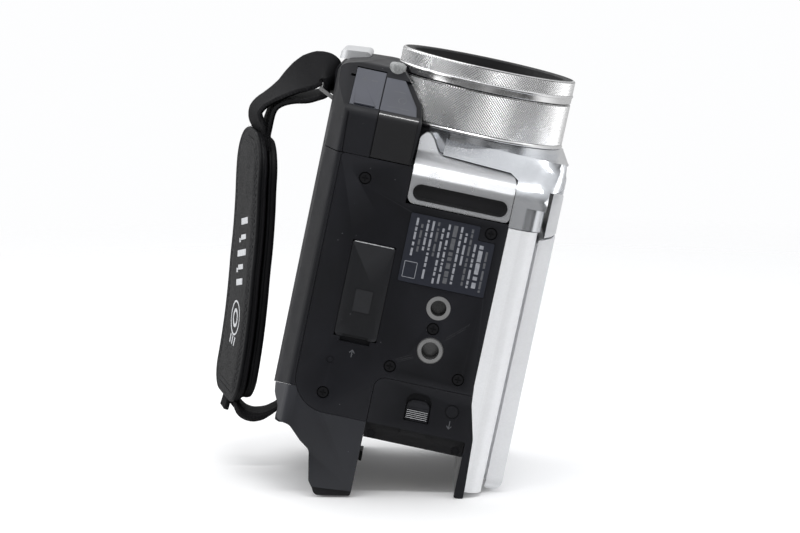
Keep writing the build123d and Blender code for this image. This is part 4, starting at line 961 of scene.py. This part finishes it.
def fac_stroke(bm, p, q, w, n0=-0.02, n1=0.05):
    d = Vector((q[0] - p[0], q[1] - p[1], 0)).normalized()
    s = (-d.y * w / 2, d.x * w / 2)
    c = [(p[0] - s[0], p[1] - s[1]), (q[0] - s[0], q[1] - s[1]), (q[0] + s[0], q[1] + s[1]), (p[0] + s[0], p[1] + s[1])]
    lo = [bm.verts.new(facp(a, b, n0) * MM) for a, b in c]
    hi = [bm.verts.new(facp(a, b, n1) * MM) for a, b in c]
    bm.faces.new(lo)
    bm.faces.new(list(reversed(hi)))
    for i in range(4):
        k = (i + 1) % 4
        bm.faces.new((lo[i], hi[i], hi[k], lo[k]))


fmk = bmesh.new()
for (a, b) in (((-35.2, 12.6), (-33.6, 12.6)), ((-34.4, 13.4), (-34.4, 11.8)), ((-32.4, 12.6), (-30.6, 12.6))):
    fac_stroke(fmk, a, b, 0.28)
finish_mesh("jack_marks", fmk, M["ink_dim"], "jack_door", smooth=False)
fmk = bmesh.new()
for k in range(12):
    a = 2 * math.pi * k / 12
    b = 2 * math.pi * (k + 1) / 12
    fac_stroke(fmk, (-22.6 + 1.1 * math.cos(a), 7.2 + 1.1 * math.sin(a)), (-22.6 + 1.1 * math.cos(b), 7.2 + 1.1 * math.sin(b)), 0.22)
for (a, b) in (((-26.4, 4.2), (-20.2, 4.2)), ((-25.4, 10.4), (-22.0, 10.4))):
    fac_stroke(fmk, a, b, 0.26)
finish_mesh("facet_marks", fmk, M["ink_dim"], "root", smooth=False)

# ribbed slide on the barrel, light scuffs beside the tripod socket
sl = bmesh.new()


def on_barrel(x, y, r):
    a = math.asin(x / 24.7)
    return Vector((r * math.sin(a), y, 37.0 - r * math.cos(a))) * MM


def barrel_patch(bm, x0, x1, y0, y1, r0, r1, n=6):
    top, low = [], []
    for i in range(n + 1):
        x = x0 + (x1 - x0) * i / n
        for y in (y0, y1):
            top.append(bm.verts.new(on_barrel(x, y, r1)))
            low.append(bm.verts.new(on_barrel(x, y, r0)))
    for i in range(n):
        a, b, c, d = 2 * i, 2 * i + 1, 2 * i + 3, 2 * i + 2
        bm.faces.new((top[a], top[b], top[c], top[d]))
        bm.faces.new((low[d], low[c], low[b], low[a]))
        bm.faces.new((top[a], top[d], low[d], low[a]))
        bm.faces.new((top[b], low[b], low[c], top[c]))
    bm.faces.new((top[0], low[0], low[1], top[1]))
    bm.faces.new((top[-2], top[-1], low[-1], low[-2]))


barrel_patch(sl, -7.0, -2.6, -60.4, -55.4, 24.6, 24.95)
for k in range(6):
    barrel_patch(sl, -6.6 + 0.68 * k, -6.3 + 0.68 * k, -60.1, -56.2, 24.9, 25.2, 2)
finish_mesh("barrel_slide", sl, M["silver2"], "root", smooth=False)
sd = bmesh.new()
barrel_patch(sd, -7.55, -7.3, -60.9, -55.0, 24.6, 24.73, 1)
barrel_patch(sd, -7.75, -7.1, -55.3, -54.75, 24.6, 24.76, 2)
finish_mesh("barrel_slide_slot", sd, M["dark"], "root", smooth=False)

sc = bmesh.new()
rnd = random.Random(21)
for k in range(9):
    x = 3.9 + rnd.uniform(-0.3, 0.3)
    y = -4.2 + rnd.uniform(-0.5, 0.5)
    ln = rnd.uniform(0.35, 1.0)
    stroke(sc, (x, y), (x + 5.8 * ln, y - 5.3 * ln), rnd.uniform(0.03, 0.07), -0.006, 0.02)
for k in range(4):
    x, y = -4.6 + rnd.uniform(-0.4, 0.4), 2.6 + rnd.uniform(-0.5, 0.5)
    stroke(sc, (x, y), (x - 4.4, y + 2.0 + rnd.uniform(-0.4, 0.4)), 0.05, -0.006, 0.02)
finish_mesh("cover_scuffs", sc, M["scuff"], "root", smooth=False)

# painted highlights: pale bars on the crests of the latch ribs and a pale rod along the free edge of the card door
rb = bmesh.new()
for k in range(5):
    bar(rb, -2.9 - 0.0 * k, 3.2, 18.06 + 0.56 * k, 18.2 + 0.56 * k, 0.11, 0.2)
finish_mesh("latch_rib_painted_highlight", rb, M["catch"], "latch", smooth=False)
# painted highlight along the free edge of the card door
de = bmesh.new()
tube("", [Vector((-27.5, -26.72, 0.24)), Vector((-16.2, -26.72, 0.24))], 0.19, M["catch"], seg=8, join=de)
finish_mesh("card_door_painted_highlight", de, M["catch"], "card_door", smooth=True)

# ---------------------------------------------------------- eased edges
for nm, wd in (("bottom_cover", 0.22), ("latch_panel", 0.2), ("sd_door", 0.28), ("rear_grip_housing", 0.35), ("side_shell", 0.25), ("mic_bracket", 0.4),
               ("front_grip_housing", 0.35), ("facet_panel", 0.16), ("jack_cover", 0.2), ("lcd_cover", 0.5), ("lcd_hinge_arm", 0.35), ("battery_latch", 0.12),
               ("top_cover", 0.2), ("rear_panel", 0.25), ("grip_shell", 0.2), ("lcd_bezel", 0.15), ("mic_grille", 0.12), ("front_trim", 0.2), ("battery_plate", 0.15),
               ("leg_wall", 0.12), ("zoom_lever", 0.12), ("mode_dial", 0.1), ("front_housing", 0.3)):
    soften(nm, wd)


# ------------------------------------------------------------------- stage
def stage():
    # the object stands on the rear ends of its two legs, so the floor is a slanted plane behind it
    n = (Vector((-math.sin(math.radians(12.0)), -math.cos(math.radians(12.0)), 0))).normalized()
    p = -n * (43.45 * MM)
    side = n.cross(Vector((0, 0, 1))).normalized()
    size = 1.6
    me = bpy.data.meshes.new("floor")
    vs = [p + side * size * a + Vector((0, 0, 1)) * size * b for a, b in ((-1, -1), (1, -1), (1, 1), (-1, 1))]
    me.from_pydata([tuple(v) for v in vs], [], [[0, 1, 2, 3]])
    me.update()
    if me.polygons[0].normal.dot(n) < 0:
        me.flip_normals()
    fl = bpy.data.objects.new("floor", me)
    scene.collection.objects.link(fl)
    t = NT("floor_white")
    v = t.coord()
    base = t.mix(t.noise(v, 3.0, 2.0), (0.95, 0.95, 0.955), (0.965, 0.965, 0.97))
    b = t.bsdf(Base_Color=base, Roughness=0.7, Specular_IOR_Level=0.2, Emission_Color=(1.0, 1.0, 1.0, 1.0), Emission_Strength=0.07)
    tr = t.node("ShaderNodeBsdfTransparent")
    g = t.node("ShaderNodeNewGeometry")
    dist = t.node("ShaderNodeVectorMath", operation="DISTANCE")
    t.put(dist.inputs[0], t.coord())
    dist.inputs[1].default_value = tuple(p + Vector((0.0, 0, 0.05)))
    fade = t.maprange(dist.outputs["Value"], 0.16, 0.6, 0.0, 1.0)
    fac = t.math("MAXIMUM", g.outputs["Backfacing"], fade, clamp=True)
    mx = t.node("ShaderNodeMixShader")
    t.put(mx.inputs[0], fac)
    t.nt.links.new(b.outputs[0], mx.inputs[1])
    t.nt.links.new(tr.outputs[0], mx.inputs[2])
    t.nt.links.new(mx.outputs[0], t.out.inputs[0])
    me.materials.append(t.mat)
    fl.visible_glossy = False
    return n


FLOOR_N = stage()


class World(NT):
    def __init__(self):
        w = bpy.data.worlds.new("studio")
        scene.world = w
        w.use_nodes = True
        self.nt = w.node_tree
        self.nt.nodes.clear()
        self.out = self.node("ShaderNodeOutputWorld")

    def dot(self, v, d):
        m = self.node("ShaderNodeVectorMath", operation="DOT_PRODUCT")
        self.put(m.inputs[0], v)
        m.inputs[1].default_value = tuple(d)
        return m.outputs["Value"]


def studio():
    t = World()
    tc = t.node("ShaderNodeTexCoord")
    d = tc.outputs["Generated"]
    up, rt, to = t.dot(d, CAM_U), t.dot(d, CAM_R), t.dot(d, -CAM_F)
    az = t.math("ARCTAN2", rt, to)
    f = t.math("MULTIPLY_ADD", az, 1 / (2 * math.pi), 0.5)

    def at(deg):
        return deg / 360.0 + 0.5
    prof = [(-180, 0.6), (-120, 0.7), (-84, 1.2), (-66, 0.9), (-58, 0.03), (-48, 0.02), (-41, 0.22), (-14, 0.12), (-6, 0.34), (5, 0.34), (13, 0.10),
            (42, 0.16), (56, 0.02), (66, 0.03), (74, 0.9), (86, 1.1), (118, 0.6), (180, 0.6)]
    ring = t.ramp(f, [(at(a), c) for a, c in prof])
    hi = t.maprange(up, 0.35, 0.75, 0.0, 1.0)
    hi = t.math("SMOOTH_MIN", hi, 1.0, 0.1)
    env = t.mix(hi, ring, (0.84, 0.85, 0.865))
    lp = t.node("ShaderNodeLightPath")
    bg1 = t.node("ShaderNodeBackground")
    t.put(bg1.inputs[0], env)
    bg1.inputs[1].default_value = 0.85
    bg2 = t.node("ShaderNodeBackground")
    bg2.inputs[0].default_value = (0.985, 0.988, 0.995, 1)
    bg2.inputs[1].default_value = 1.0
    mx = t.node("ShaderNodeMixShader")
    t.put(mx.inputs[0], lp.outputs["Is Camera Ray"])
    t.nt.links.new(bg1.outputs[0], mx.inputs[1])
    t.nt.links.new(bg2.outputs[0], mx.inputs[2])
    t.nt.links.new(mx.outputs[0], t.out.inputs[0])


studio()


def area(name, loc, target, size, power, size_y=None, color=(1, 1, 1)):
    l = bpy.data.lights.new(name, "AREA")
    l.shape = "RECTANGLE"
    l.size = size
    l.size_y = size_y or size
    l.energy = power
    l.color = color
    o = bpy.data.objects.new(name, l)
    scene.collection.objects.link(o)
    o.location = loc
    d = (Vector(target) - Vector(loc)).normalized()
    o.rotation_mode = "QUATERNION"
    o.rotation_quaternion = d.to_track_quat("-Z", "Y")
    o.visible_camera = False
    return o


MID = Vector((-0.01, -0.02, 0.03))
area("top_box", MID + CAM_U * 0.62 + CAM_F * 0.22 - CAM_R * 0.18, MID, 0.55, 1.5)
area("left_box", MID - CAM_R * 0.6 + CAM_U * 0.25 - CAM_F * 0.12, MID, 0.3, 1.5, 0.8)
area("right_box", MID + CAM_R * 0.56 + CAM_U * 0.2 - CAM_F * 0.34, MID, 0.3, 1.2, 0.8)
area("front_strip", MID + CAM_U * 0.55 - CAM_F * 0.40, MID, 0.5, 1.5, 0.05)
